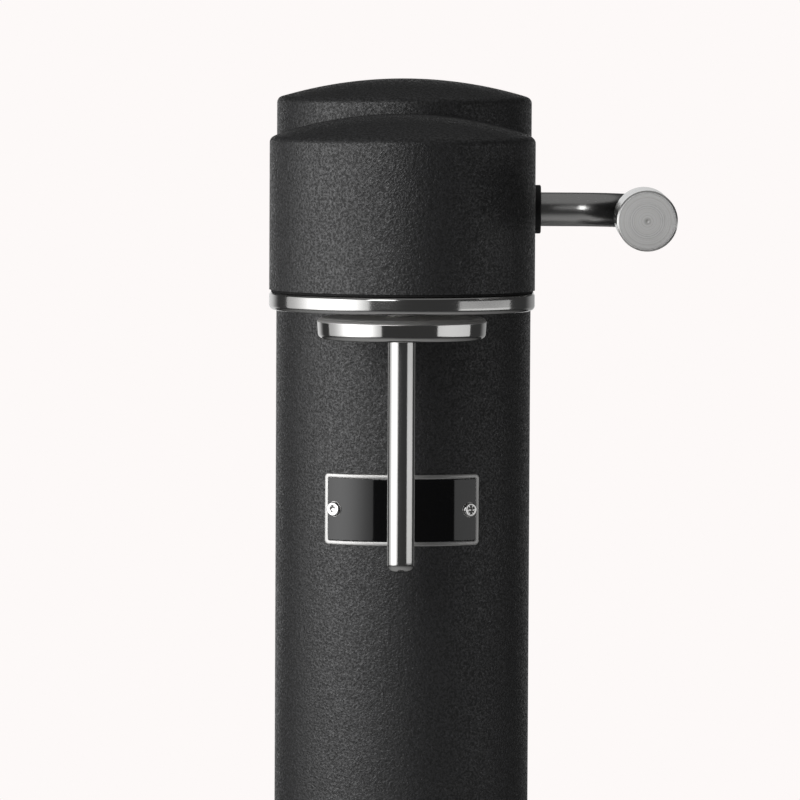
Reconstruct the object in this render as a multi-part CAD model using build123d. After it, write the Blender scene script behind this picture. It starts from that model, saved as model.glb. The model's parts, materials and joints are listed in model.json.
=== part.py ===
# Soda carbonator: a column with a cantilevered head over a drip tray, in millimetres.
# Origin at the centre of the base's footprint on the floor, +Z up, front towards -Y, lever on +X.
from build123d import *
from math import asin, cos, degrees, radians, sin, tan
import os

# body
total_height = 414.0        # floor to the top of the column's dome
body_radius = 50.0          # round ends of the column and of the head
column_depth = 150.0        # column, front face to rear face
throat = 50.0               # nozzle axis to the column's front face
wall = 1.0                  # sheet of both shells
edge_round = 2.6            # edge between a shell's side and its dome
column_rise = 7.5           # dome of the column above its edge
head_drop = 13.2            # top of the head below the top of the column
head_rise = 8.6             # dome of the head above its edge
head_side = 57.0            # height of the head shell's straight side
head_back = 5.0             # head shell ends this far in front of the column's widest place
seam = 0.15                 # joint line between head and column

# base
base_end_margin = 4.0       # base beyond the body, front and rear
base_side_margin = 2.0      # base beyond the body, each side
base_thickness = 18.0
base_edge = 3.0             # round on the base's upper edge
sole_thickness = 2.0
sole_inset = 2.0
foot_height = 14.0          # collar that holds the column's lower end
foot_floor = 3.0
foot_collar = 4.8
foot_bolt_x = 30.0          # front pair of base screws
foot_bolt_front = 12.0
tray_rim = 4.0              # base left at each side of the tray
tray_gap = 2.0              # tray to the column's front face
tray_depth = 11.0           # recess for the tray
tray_height = 15.5
tray_sheet = 0.9
tray_round = 4.0
tray_clearance = 0.4
seat_gap = 0.2              # loose pieces over the face that carries them

# trim along the head's lower edge
gasket_height = 0.9
gasket_inset = 0.7
trim_height = 6.7
trim_depth = 4.5
trim_top_round = 1.3
trim_low_round = 1.9
floor_plate = 2.5           # steel plate that closes the head from below
floor_plate_rise = 14.4     # its underside over the trim's lower edge
fit = 0.2                   # loose fit of inner plates in the shells

# chassis in the head and the column's upper end
chassis_rise = 2.5          # chassis plate above the floor plate
chassis_sheet = 2.5
chassis_inset = 10.0        # part in the head, from the shell's outer side
chassis_nose = 22.0         # in front of the nozzle axis
window_margin = 1.0         # opening in the column's front around the chassis
window_height = 42.0
cheek_inset = 10.5          # bearing cheeks, from the shell's outer side
cheek_sheet = 2.5
cheek_half = 12.5           # cheek from its bearing to its edges
bracket_height = 9.0
bracket_flange = 12.0
bracket_sheet = 2.0

# lever
lever_rise = 14.9           # lever axis above the chassis plate's top
lever_back = 50.0           # lever axis behind the nozzle axis
lever_droop = 0.8           # degrees the rod points down at rest
lever_swing = 50.0          # degrees the lever goes down
rod_radius = 6.5
rod_bend = 24.0             # centre line radius of the bend
grip_radius = 11.2
grip_length = 40.0
grip_bevel = 0.7
grip_socket = 5.0           # rod's depth in the grip
grip_offset = 90.2          # grip axis from the middle of the body
grip_reach = 105.0          # grip's face in front of the lever axis
bushing_radius = 9.35
bushing_proud = 2.9
bushing_shank = 8.0
bushing_round = 0.6
bush_sheet = 2.0            # wall of the left bush
shaft_radius = 5.0          # thinner inner end of the rod
running = 0.05              # radial clearance of a running fit
cam_radius = 10.5
cam_width = 14.0
cam_throw = 4.26            # eccentricity
cam_contact = 0.15          # rocker over the cam at rest
clip_sheet = 1.2
clip_groove = 0.8

# rocker and push pin
rocker_width = 12.0
rocker_height = 6.0
rocker_pin_radius = 2.5
rocker_pivot_front = 40.0   # rocker pivot in front of the cylinder axis
lug_gap = 0.3
lug_sheet = 3.0
lug_half = 6.5
rocker_boss = 2.7
pin_travel = 2.6
pin_radius = 3.0
pin_collar = 5.5
pin_collar_height = 1.2
pin_tip = 1.5
spring_wire = 0.8
spring_turns = 4
spring_play = 0.1

# carbon dioxide cylinder and its seat
tank_radius = 30.0
tank_wall = 2.8
tank_ground = 6.0           # underside above the floor
tank_clearance = 2.0        # hole in the base round the cylinder
tank_neck = 15.0
tank_mouth = 9.0            # bore of the cylinder's neck
tank_round = 8.0
tank_shoulder = 30.0
valve_neck = 10.5           # threaded neck of the cylinder valve
valve_reach = 25.7          # neck above the valve's body
valve_body = 12.0
valve_stem = 18.0
core_radius = 1.8
core_recess = 4.2
block_width = 36.0
block_depth = 40.0
block_height = 13.5
seat_depth = 8.5            # cylinder seat in the block
seal_height = 2.0
relief_radius = 6.0
relief_thread = 4.0
relief_bore = 3.5
relief_seat = 3.0
relief_length = 13.0
guide_sheet = 3.0
guide_play = 0.6
guide_window = 16.0         # hole in front of the cylinder that saves weight
guide_low = 120.0           # lower guide above the floor
guide_drop = 68.0           # upper guide under the cylinder's top

# gas line, yoke and bottle holder
pipe_radius = 2.5
pipe_rise = 5.0             # pipe axis above the chassis plate
pipe_side = 16.0            # pipe's place at the valve block, left of the middle
pipe_socket = 3.0           # pipe's depth in each fitting
pipe_bend = 60.0
nut_radius = 4.6
nut_half = 4.0
yoke_width = 32.0
yoke_inlet = 11.0           # pipe's place at the yoke, left of the middle
yoke_depth = 24.0
yoke_height = 11.0
pivot_drop = 9.0            # tilt axis under the chassis plate
hub_radius = 5.5
hub_width = 13.0
neck_play = 3.0             # opening in the head's floor round the hub
ear_sheet = 3.0
pivot_pin_radius = 2.5
holder_radius = 32.0
holder_height = 8.3
holder_bevel = 1.5
holder_taper = 0.4          # rim radius less the radius at the foot
holder_round = 2.2
holder_drop = 2.7           # holder's top under the trim
socket_radius = 17.0
socket_depth = 6.3
thread_ridge = 0.8
thread_start = 1.6
thread_pitch = 2.4
seal_radius = 15.0
seal_sheet = 1.2
tube_radius = 5.2
tube_bore = 2.6
tube_round = 3.2
tube_seat = 1.0             # tube's depth in the holder
tube_length = 88.2          # below the holder's underside
jet_radius = 0.6
jet_length = 4.0

# nameplate on the column's front
plate_height = 27.5
plate_chord = 59.8
plate_drop = 87.3           # plate's middle under the head shell's lower edge
plate_sheet = 1.0
plate_line = 1.6            # polished line round the black field
plate_corner = 1.6
field_depth = 0.2
field_corner = 0.6
enamel_below = 0.05         # enamel under the polished line
screw_chord = 53.6
screw_land = 3.05
screw_head = 2.8
screw_rise = 1.2
screw_round = 0.5
screw_socket = 1.15
screw_radius = 1.5
screw_length = 7.0
bolt_radius = 2.0           # M4 screws of base, chassis and block
bolt_head = 3.5
bolt_head_height = 4.0
bolt_socket = 1.7
bolt_margin = 5.0           # bolt axis from the edges of block and yoke

# places worked out from the sizes above
inner_radius = body_radius - wall
base_length = 2 * base_end_margin + body_radius + throat + column_depth
nozzle_y = -base_length / 2 + base_end_margin + body_radius
column_face_y = nozzle_y + throat
column_front_y = column_face_y + body_radius
column_rear_y = column_face_y + column_depth - body_radius
head_end_y = column_front_y - head_back
base_radius = body_radius + base_side_margin
base_front_y = -base_length / 2 + base_radius
base_rear_y = -base_front_y
base_top_z = sole_thickness + base_thickness
column_edge_z = total_height - column_rise
head_top_z = total_height - head_drop
head_edge_z = head_top_z - head_rise
head_low_z = head_edge_z - head_side
trim_top_z = head_low_z - gasket_height
trim_low_z = trim_top_z - trim_height
floor_plate_z = trim_low_z + floor_plate_rise
chassis_z = floor_plate_z + floor_plate + chassis_rise
chassis_top_z = chassis_z + chassis_sheet
lever_z = chassis_top_z + lever_rise
lever_y = nozzle_y + lever_back
tank_y = column_rear_y
chassis_half = body_radius - chassis_inset
cheek_x = body_radius - cheek_inset
cam_phase = -lever_swing / 2
cam_y = lever_y + cam_throw * cos(radians(cam_phase))
cam_z = lever_z + cam_throw * sin(radians(cam_phase))
rocker_low_z = cam_z + cam_radius + cam_contact
rocker_y = tank_y - rocker_pivot_front
rocker_z = rocker_low_z + rocker_height / 2
seat_z = chassis_top_z + seat_depth
block_top_z = chassis_top_z + block_height
block_middle_z = chassis_top_z + block_height / 2
valve_top_z = seat_z - seal_height - 0.3
valve_shoulder_z = valve_top_z - valve_reach
tank_top_z = valve_shoulder_z - valve_body
guide_levels = (guide_low, tank_top_z - guide_drop)
pin_top_z = rocker_low_z - 0.25
collar_z = pin_top_z - 3.0
core_top_z = valve_top_z - 0.5
pin_low_z = core_top_z + 0.2
holder_top_z = trim_low_z - holder_drop
holder_low_z = holder_top_z - holder_height
pivot_z = chassis_z - pivot_drop
tube_tip_z = holder_low_z - tube_length
tray_radius = min(throat - tray_gap, base_radius - tray_rim)
recess_z = base_top_z - tray_depth
plate_z = head_low_z - plate_drop
plate_radius = body_radius + 0.05
plate_face = plate_radius + plate_sheet
base_bolt_z = sole_thickness + bolt_head_height + 1
foot_bolts = [(side * (inner_radius - foot_collar - bolt_radius - fit), tank_y) for side in (-1, 1)]
foot_bolts += [(side * foot_bolt_x, column_front_y - foot_bolt_front) for side in (-1, 1)]


def stadium(radius, y_front, y_rear):
    """Plan outline with round ends of one radius at two centres on the Y axis."""
    outline = Pos(0, y_front) * Circle(radius) + Pos(0, y_rear) * Circle(radius)
    return outline + Pos(0, (y_front + y_rear) / 2) * Rectangle(2 * radius, y_rear - y_front)


def prism(outline, z_low, z_high):
    return extrude(Pos(0, 0, z_low) * outline, z_high - z_low)


def post(radius, x, y, z_low, z_high):
    """Upright cylinder between two levels."""
    return Pos(x, y, (z_low + z_high) / 2) * Cylinder(radius, z_high - z_low)


def bar(radius, x_low, x_high, y, z):
    """Cylinder along X."""
    return Pos((x_low + x_high) / 2, y, z) * Rot(0, 90, 0) * Cylinder(radius, x_high - x_low)


def block(x_low, x_high, y_low, y_high, z_low, z_high):
    """Box between six planes."""
    centre = ((x_low + x_high) / 2, (y_low + y_high) / 2, (z_low + z_high) / 2)
    return Pos(*centre) * Box(x_high - x_low, y_high - y_low, z_high - z_low)


def turned(points, x=0.0, y=0.0, rounds=()):
    """Solid of revolution about an upright axis from (radius, z) points; rounds are (corner, radius)."""
    outline = Polyline(*[(r, z) for r, z in points], close=True)
    face = make_face(outline)
    for corner, size in rounds:
        r, z = points[corner]
        face = fillet(face.vertices().sort_by_distance((r, z, 0))[0], size)
    return Pos(x, y, 0) * revolve(Plane.XZ * face, Axis.Z)


def dome_profile(radius, z_low, z_edge, rise, edge):
    """Half section of a domed shell's outside, x from 0 to radius."""
    half = Line((0, z_low), (radius, z_low)) + Line((radius, z_low), (radius, z_edge))
    sphere = (radius ** 2 + rise ** 2) / (2 * rise)
    half_angle = asin(radius / sphere)
    middle = (sphere * sin(half_angle / 2), z_edge + rise - sphere * (1 - cos(half_angle / 2)))
    half += ThreePointArc((radius, z_edge), middle, (0, z_edge + rise)) + Line((0, z_edge + rise), (0, z_low))
    face = make_face(half)
    corner = face.vertices().sort_by_distance((radius, z_edge, 0))[0]
    return fillet(corner, edge)


def domed(radius, y_front, y_rear, z_low, z_edge, rise, edge, round_rear=True):
    """Prism with round ends under a dome that is spherical at the ends and arched between them."""
    half = dome_profile(radius, z_low, z_edge, rise, edge)
    full = half + mirror(half, Plane.YZ)
    body = extrude(Plane((0, y_rear, 0), x_dir=(1, 0, 0), z_dir=(0, -1, 0)) * full, y_rear - y_front)
    at_front = Plane((0, y_front, 0), x_dir=(1, 0, 0), z_dir=(0, -1, 0)) * half
    body += revolve(at_front, Axis((0, y_front, 0), (0, 0, -1)), 180)
    if round_rear:
        at_rear = Plane((0, y_rear, 0), x_dir=(1, 0, 0), z_dir=(0, -1, 0)) * half
        body += revolve(at_rear, Axis((0, y_rear, 0), (0, 0, 1)), 180)
    return body


def column_prism(gap=0.0):
    """Space taken by the column, with a gap round it."""
    return prism(stadium(body_radius + gap, column_front_y, column_rear_y), 0, total_height + 10)


def head_outline(inset):
    """Head in plan: round front end and straight sides back to the seam."""
    length = head_end_y - nozzle_y
    sides = Pos(0, nozzle_y + length / 2) * Rectangle(2 * (body_radius - inset), length)
    return Pos(0, nozzle_y) * Circle(body_radius - inset) + sides


def around_column(radius, angle, z):
    """Place on the column's round front, its local Z pointing outwards."""
    turn = radians(angle)
    origin = (radius * sin(turn), column_front_y - radius * cos(turn), z)
    return Location(Plane(origin, x_dir=(cos(turn), sin(turn), 0), z_dir=(sin(turn), -cos(turn), 0)))


def column_shell():
    outside = domed(body_radius, column_front_y, column_rear_y, base_top_z, column_edge_z,
                    column_rise, edge_round)
    inside = domed(inner_radius, column_front_y, column_rear_y, base_top_z - 1, column_edge_z - wall,
                   column_rise, edge_round - wall)
    half = chassis_half + window_margin
    window = block(-half, half, column_face_y - 5, column_front_y, chassis_z - window_margin,
                   chassis_z + window_height)
    shell = outside - inside - window
    for angle in plate_screw_angles():
        shell -= around_column(body_radius, angle, plate_z) * Cylinder(screw_radius + running, 6 * wall)
    return shell


def head_shell():
    outside = domed(body_radius, nozzle_y, head_end_y, head_low_z, head_edge_z, head_rise, edge_round, False)
    inside = domed(inner_radius, nozzle_y, head_end_y + 1, head_low_z - 1, head_edge_z - wall, head_rise,
                   edge_round - wall, False)
    lever_hole = bar(bushing_shank + running, inner_radius - wall, body_radius + wall, lever_y, lever_z)
    return outside - inside - column_prism(seam) - lever_hole


def head_band(section):
    """Section in the X-Z plane, on the +X side, carried round the head's front and back along both sides."""
    at_front = Plane((0, nozzle_y, 0), x_dir=(1, 0, 0), z_dir=(0, -1, 0)) * section
    at_end = Plane((0, head_end_y, 0), x_dir=(1, 0, 0), z_dir=(0, -1, 0)) * section
    side = extrude(at_end, head_end_y - nozzle_y)
    front = revolve(at_front, Axis((0, nozzle_y, 0), (0, 0, -1)), 180)
    return front + side + mirror(side, Plane.YZ) - column_prism(seam)


def band_section(outer_inset, z_low, z_high):
    """Rectangle between the trim's inner side and an inset from the head's outer side."""
    x_low, x_high = body_radius - trim_depth, body_radius - outer_inset
    return Pos((x_low + x_high) / 2, (z_low + z_high) / 2) * Rectangle(x_high - x_low, z_high - z_low)


def head_gasket():
    return head_band(band_section(gasket_inset, trim_top_z, head_low_z))


def head_trim():
    section = band_section(0, trim_low_z, trim_top_z)
    low, top = section.vertices().group_by(Axis.X)[-1].sort_by(Axis.Y)
    section = fillet(low, trim_low_round)
    top = section.vertices().group_by(Axis.Y)[-1].sort_by(Axis.X)[-1]
    return head_band(fillet(top, trim_top_round))


def head_floor():
    plate = prism(head_outline(wall + fit), floor_plate_z, floor_plate_z + floor_plate) - column_prism(seam)
    half, reach = hub_width / 2 + ear_sheet + 2 * fit, hub_radius + neck_play
    return plate - block(-half, half, nozzle_y - reach, nozzle_y + reach, floor_plate_z - 1, chassis_z)


def chassis():
    low, top = chassis_z, chassis_top_z
    plate = prism(stadium(inner_radius - fit, column_front_y, column_rear_y), low, top)
    plate += block(-chassis_half, chassis_half, nozzle_y - chassis_nose, column_front_y, low, top)
    for side in (-1, 1):
        x_near, x_far = sorted((side * (cheek_x - cheek_sheet), side * cheek_x))
        plate += block(x_near, x_far, lever_y - cheek_half, lever_y + cheek_half, top, lever_z + cheek_half)
        x_near, x_far = sorted((side * lug_near(), side * (lug_near() + lug_sheet)))
        plate += block(x_near, x_far, rocker_y - lug_half, rocker_y + lug_half, top, rocker_z + lug_half)
    plate -= bar(bushing_shank + running, 0, body_radius, lever_y, lever_z)
    plate -= bar(shaft_radius + bush_sheet + running, -body_radius, 0, lever_y, lever_z)
    plate -= bar(rocker_pin_radius, -cheek_x / 2, cheek_x / 2, rocker_y, rocker_z)
    plate -= post(valve_neck + 1.5, 0, tank_y, low - 1, top + 1)
    half = hub_width / 2 + ear_sheet + fit
    plate -= block(-half, half, nozzle_y - hub_radius - fit, nozzle_y + hub_radius + fit, low - 1, top + 1)
    for x, y in block_bolts() + yoke_bolts() + chassis_bolts():
        plate -= post(bolt_radius + running, x, y, low - 1, top + 1)
    return plate


def lug_near():
    """Inner side of the rocker's lugs."""
    return rocker_width / 2 + lug_gap


def chassis_bolts():
    x = inner_radius - fit - bracket_flange / 2
    return [(side * x, y) for side in (-1, 1) for y in (column_front_y + bracket_flange / 2, column_rear_y)]


def block_bolts():
    x, y = block_width / 2 - bolt_margin, block_depth / 2 - bolt_margin
    return [(side * x, tank_y + end * y) for side in (-1, 1) for end in (-1, 1)]


def yoke_bolts():
    x, y = yoke_width / 2 - bolt_margin, nozzle_y - yoke_depth / 2 + bolt_margin
    return [(side * x, y) for side in (-1, 1)]


def bolt(x, y, z_seat, grip, upwards=False):
    """Socket head screw whose head sits on z_seat; its shank runs down, or up when upwards."""
    way = 1 if upwards else -1
    z_tip, z_head = z_seat + way * grip, z_seat - way * bolt_head_height
    shank = post(bolt_radius, x, y, min(z_seat, z_tip), max(z_seat, z_tip))
    head = post(bolt_head, x, y, min(z_seat, z_head), max(z_seat, z_head))
    socket = Pos(x, y, z_head) * extrude(RegularPolygon(bolt_socket, 6), bolt_head_height / 2, both=True)
    return shank + head - socket


def chassis_brackets():
    """Angle on each inner side of the column that carries the chassis plate."""
    brackets = []
    low, outer = chassis_z - bracket_sheet, inner_radius - fit
    for side in (-1, 1):
        near, far = sorted((side * (outer - bracket_sheet), side * outer))
        upright = block(near, far, column_front_y, column_rear_y, chassis_z - bracket_height, chassis_z)
        near, far = sorted((side * (outer - bracket_flange), side * outer))
        flange = block(near, far, column_front_y, column_rear_y + bracket_flange / 2, low, chassis_z)
        piece = upright + (flange & prism(stadium(outer, column_front_y, column_rear_y), low, chassis_z))
        for x, y in chassis_bolts():
            piece -= post(bolt_radius + running, x, y, low - 1, chassis_z + 1)
        brackets.append(piece)
    return Compound(children=brackets)


def chassis_screws():
    grip = chassis_sheet + bracket_sheet + bolt_radius
    return Compound(children=[bolt(x, y, chassis_top_z, grip) for x, y in chassis_bolts()])


def forward(y):
    """Plane across the grip's axis at one place along it, facing the rear."""
    return Plane((grip_offset, y, lever_z), x_dir=(1, 0, 0), z_dir=(0, 1, 0))


def lever_parts():
    """Rod with its thinner shaft end, grip and clip, turned down by the droop, and the eccentric cam."""
    grip_y = lever_y - grip_reach
    rod_end_y = grip_y + grip_length - grip_socket
    shoulder_x = cheek_x - cheek_sheet - 1
    groove_x = -cheek_x - bush_sheet
    shaft_end_x = groove_x - clip_sheet - bush_sheet
    path = FilletPolyline((shoulder_x, lever_y, lever_z), (grip_offset, lever_y, lever_z),
                          (grip_offset, rod_end_y, lever_z), radius=rod_bend)
    section = Plane((shoulder_x, lever_y, lever_z), x_dir=(0, 1, 0), z_dir=(1, 0, 0)) * Circle(rod_radius)
    neck = bar(shaft_radius - clip_groove, shaft_end_x, groove_x, lever_y, lever_z)
    tip = bar(shaft_radius, shaft_end_x, groove_x - clip_sheet, lever_y, lever_z)
    rod = sweep(section, path) + bar(shaft_radius, groove_x, shoulder_x, lever_y, lever_z) + neck + tip
    grip = extrude(forward(grip_y) * Circle(grip_radius), grip_length)
    grip = chamfer(grip.edges().filter_by(GeomType.CIRCLE), grip_bevel)
    grip -= extrude(forward(rod_end_y) * Circle(rod_radius), 2 * grip_socket)
    cam = Pos(0, cam_y, cam_z) * Rot(0, 90, 0) * Cylinder(cam_radius, cam_width)
    cam -= bar(shaft_radius, -cam_width, cam_width, lever_y, lever_z)
    clip = bar(shaft_radius + 3, groove_x - clip_sheet + running, groove_x - running, lever_y, lever_z)
    clip -= bar(shaft_radius - clip_groove, shaft_end_x, groove_x, lever_y, lever_z)
    clip -= block(shaft_end_x, groove_x, lever_y - 3, lever_y + 3, lever_z - 2 * shaft_radius, lever_z)
    droop = Pos(0, lever_y, lever_z) * Rot(lever_droop, 0, 0) * Pos(0, -lever_y, -lever_z)
    return {"lever_rod": droop * rod, "lever_grip": droop * grip, "shaft_clip": droop * clip,
            "lever_cam": cam}


def lever_bushing():
    """Round black bushing in the head's right side, with a shank that reaches the cheek."""
    inner_x = cheek_x - cheek_sheet - 0.5
    body = bar(bushing_shank, inner_x, body_radius + 1, lever_y, lever_z)
    flange = bar(bushing_radius, body_radius + running, body_radius + bushing_proud, lever_y, lever_z)
    flange = fillet(flange.edges().sort_by(Axis.X)[-1], bushing_round)
    return body + flange - bar(rod_radius + running, 0, 2 * body_radius, lever_y, lever_z)


def shaft_bushing():
    """Flanged bush in the left cheek."""
    inner_x = -cheek_x + cheek_sheet
    shank = bar(shaft_radius + bush_sheet, -cheek_x - 0.5, inner_x, lever_y, lever_z)
    flange = bar(shaft_radius + 2 * bush_sheet, inner_x, inner_x + bush_sheet, lever_y, lever_z)
    return shank + flange - bar(shaft_radius + running, -body_radius, 0, lever_y, lever_z)


def rocker_arm():
    """Beam from over the cam to over the push pin, with a boss on its pivot."""
    half = rocker_width / 2
    y_low, y_high = cam_y - cam_radius + 1, tank_y + pin_collar
    beam = block(-half, half, y_low, y_high, rocker_low_z, rocker_low_z + rocker_height)
    beam = fillet(beam.edges().filter_by(Axis.X), rocker_height / 4)
    beam += bar(rocker_pin_radius + rocker_boss, -half, half, rocker_y, rocker_z)
    return beam - bar(rocker_pin_radius + running, -2 * half, 2 * half, rocker_y, rocker_z)


def rocker_pin():
    """Headed pin through both lugs."""
    reach = lug_near() + lug_sheet
    pin = bar(rocker_pin_radius, -reach - 1, reach, rocker_y, rocker_z)
    return pin + bar(rocker_pin_radius + 1.5, reach, reach + 1.5, rocker_y, rocker_z)


def valve_block():
    body = block(-block_width / 2, block_width / 2, tank_y - block_depth / 2, tank_y + block_depth / 2,
                 chassis_top_z, block_top_z)
    body = chamfer(body.edges().filter_by(Axis.Z), 2)
    body -= post(valve_neck + 0.3, 0, tank_y, chassis_top_z - 1, seat_z)
    body -= post(pin_radius + running, 0, tank_y, seat_z - 1, block_top_z + 1)
    for x, y in block_bolts():
        body -= post(bolt_radius + running, x, y, chassis_top_z - 1, block_top_z + 1)
    y_front = tank_y - block_depth / 2
    body -= pipe_hole(y_front - 1, y_front + pipe_socket, -pipe_side)
    side_x = block_width / 2
    return body - bar(relief_thread, side_x - relief_seat, side_x + 1, tank_y, block_middle_z)


def pipe_hole(y_low, y_high, x):
    z = chassis_top_z + pipe_rise
    return Pos(x, (y_low + y_high) / 2, z) * Rot(90, 0, 0) * Cylinder(pipe_radius, y_high - y_low)


def block_screws():
    grip = block_height + chassis_sheet + bolt_radius
    return Compound(children=[bolt(x, y, block_top_z, grip) for x, y in block_bolts()])


def cylinder_seal():
    """Washer at the top of the cylinder's seat."""
    ring = post(valve_neck - 1, 0, tank_y, seat_z - seal_height, seat_z)
    return ring - post(pin_radius + 1, 0, tank_y, seat_z - seal_height - 1, seat_z + 1)


def relief():
    """Safety valve in the block's side, and the cap in its open end."""
    x = block_width / 2
    bore_x = x + relief_seat
    body = bar(relief_thread, x - relief_seat, x, tank_y, block_middle_z)
    body += bar(relief_radius, x, x + relief_length, tank_y, block_middle_z)
    body -= bar(relief_bore, bore_x, x + relief_length + 1, tank_y, block_middle_z)
    return {"relief_valve": body,
            "relief_cap": bar(relief_bore, bore_x, bore_x + relief_length, tank_y, block_middle_z)}


def push_pin():
    """Stem into the cylinder's valve, a collar for the spring and a rounded tip under the rocker."""
    stem_z, collar_top_z = pin_low_z + core_recess - 0.5, collar_z + pin_collar_height
    return turned([(0, pin_low_z), (pin_tip, pin_low_z), (pin_tip, stem_z), (pin_radius, stem_z),
                   (pin_radius, collar_z), (pin_collar, collar_z), (pin_collar, collar_top_z),
                   (pin_radius, collar_top_z), (pin_radius, pin_top_z), (0, pin_top_z)],
                  0, tank_y, rounds=[(8, 0.8)])


def pin_spring():
    inset = spring_wire / 2 + spring_play
    low, high = block_top_z + inset, collar_z - inset
    radius = (pin_radius + pin_collar) / 2
    path = Helix((high - low) / spring_turns, high - low, radius)
    section = Plane(path @ 0, z_dir=path % 0) * Circle(spring_wire / 2)
    return Pos(0, tank_y, low) * sweep(section, path)


def tank():
    """Cylinder body, valve and core pin of the gas bottle."""
    shoulder_z = tank_top_z - tank_shoulder
    outer = turned([(0, tank_ground), (tank_radius, tank_ground), (tank_radius, shoulder_z),
                    (tank_neck, tank_top_z - 6), (tank_neck, tank_top_z), (0, tank_top_z)], 0, tank_y,
                   rounds=[(1, tank_round), (2, 14), (3, 4)])
    inner_r, floor_z = tank_radius - tank_wall, tank_ground + tank_wall
    inner = turned([(0, floor_z), (inner_r, floor_z), (inner_r, shoulder_z - 1), (tank_mouth, tank_top_z - 8),
                    (tank_mouth, tank_top_z + 1), (0, tank_top_z + 1)], 0, tank_y,
                   rounds=[(1, tank_round - tank_wall), (2, 12)])
    relief_r, body_r = valve_neck - 1, tank_neck - 0.5
    valve = turned([(0, tank_top_z - valve_stem), (tank_mouth - running, tank_top_z - valve_stem),
                    (tank_mouth - running, tank_top_z), (body_r, tank_top_z), (body_r, valve_shoulder_z),
                    (relief_r, valve_shoulder_z), (relief_r, valve_shoulder_z + 2),
                    (valve_neck, valve_shoulder_z + 3), (valve_neck, valve_top_z - 1),
                    (relief_r, valve_top_z), (0, valve_top_z)], 0, tank_y)
    valve -= post(core_radius + running, 0, tank_y, valve_shoulder_z - pin_travel - 1, valve_top_z + 1)
    valve -= post(pin_tip + 1, 0, tank_y, valve_top_z - core_recess, valve_top_z + 1)
    core = post(core_radius, 0, tank_y, valve_shoulder_z, core_top_z)
    return {"tank_body": outer - inner, "tank_valve": valve, "tank_core_pin": core}


def cylinder_guide(z):
    plate = prism(stadium(inner_radius - fit, column_front_y, column_rear_y), z, z + guide_sheet)
    plate -= post(tank_radius + guide_play, 0, tank_y, z - 1, z + guide_sheet + 1)
    return plate - post(guide_window, 0, column_front_y - guide_window / 2, z - 1, z + guide_sheet + 1)


def gas_line():
    """Pipe from the valve block to the yoke, and its two union nuts."""
    z = chassis_top_z + pipe_rise
    y_rear, y_front = tank_y - block_depth / 2, nozzle_y + yoke_depth / 2
    start = (-pipe_side, y_rear + pipe_socket, z)
    path = FilletPolyline(start, (-pipe_side, rocker_y - 15, z), (-yoke_inlet, lever_y - 14, z),
                          (-yoke_inlet, y_front - pipe_socket, z), radius=pipe_bend)
    pipe = sweep(Plane(start, z_dir=(0, -1, 0)) * Circle(pipe_radius), path)
    nuts = []
    for x, y in ((-pipe_side, y_rear - nut_half), (-yoke_inlet, y_front + nut_half)):
        place = Plane((x, y, z), x_dir=(1, 0, 0), z_dir=(0, -1, 0))
        nut = extrude(place * RegularPolygon(nut_radius, 6), nut_half, both=True)
        nuts.append(nut - pipe_hole(y - 2 * nut_half, y + 2 * nut_half, x))
    return {"gas_pipe": pipe, "union_nuts": Compound(children=nuts)}


def holder_yoke():
    body = block(-yoke_width / 2, yoke_width / 2, nozzle_y - yoke_depth / 2, nozzle_y + yoke_depth / 2,
                 chassis_top_z, chassis_top_z + yoke_height)
    body = chamfer(body.edges().filter_by(Axis.Z), 2)
    for side in (-1, 1):
        near, far = sorted((side * (hub_width / 2 + lug_gap), side * (hub_width / 2 + ear_sheet)))
        body += block(near, far, nozzle_y - hub_radius, nozzle_y + hub_radius, pivot_z, chassis_top_z)
        body += bar(hub_radius, near, far, nozzle_y, pivot_z)
    body -= bar(pivot_pin_radius, -yoke_width, yoke_width, nozzle_y, pivot_z)
    y_rear = nozzle_y + yoke_depth / 2
    body -= pipe_hole(y_rear - pipe_socket, y_rear + 1, -yoke_inlet)
    for x, y in yoke_bolts():
        body -= post(bolt_radius + running, x, y, chassis_top_z - 1, chassis_top_z + yoke_height + 1)
    return body


def yoke_screws():
    grip = yoke_height + chassis_sheet + bolt_radius / 2
    return Compound(children=[bolt(x, y, chassis_top_z + yoke_height, grip) for x, y in yoke_bolts()])


def holder_pin():
    half = hub_width / 2 + ear_sheet
    return bar(pivot_pin_radius, -half, half, nozzle_y, pivot_z)


def bottle_holder():
    """Disc with a threaded socket below, a neck and the hub it tilts on."""
    top, low = holder_top_z, holder_low_z
    foot_r = holder_radius - holder_taper
    disc = turned([(0, top), (holder_radius - holder_bevel, top), (holder_radius, top - holder_bevel),
                   (foot_r, low), (0, low)], 0, nozzle_y, rounds=[(3, holder_round)])
    disc += post(hub_radius, 0, nozzle_y, top, pivot_z)
    disc += bar(hub_radius, -hub_width / 2, hub_width / 2, nozzle_y, pivot_z)
    disc -= bar(pivot_pin_radius + running, -hub_width, hub_width, nozzle_y, pivot_z)
    disc -= post(socket_radius, 0, nozzle_y, low - 1, low + socket_depth)
    for turn in range(2):
        z = low + thread_start + thread_pitch * turn
        ridge = post(socket_radius + 0.2, 0, nozzle_y, z - thread_ridge / 2, z + thread_ridge / 2)
        disc += ridge - post(socket_radius - thread_ridge, 0, nozzle_y, z - 1, z + 1)
    return disc - post(tube_radius, 0, nozzle_y, low, low + socket_depth + tube_seat)


def bottle_seal():
    z = holder_low_z + socket_depth
    ring = post(seal_radius, 0, nozzle_y, z - seal_sheet, z)
    return ring - post(tube_radius, 0, nozzle_y, z - 2 * seal_sheet, z + 1)


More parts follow.
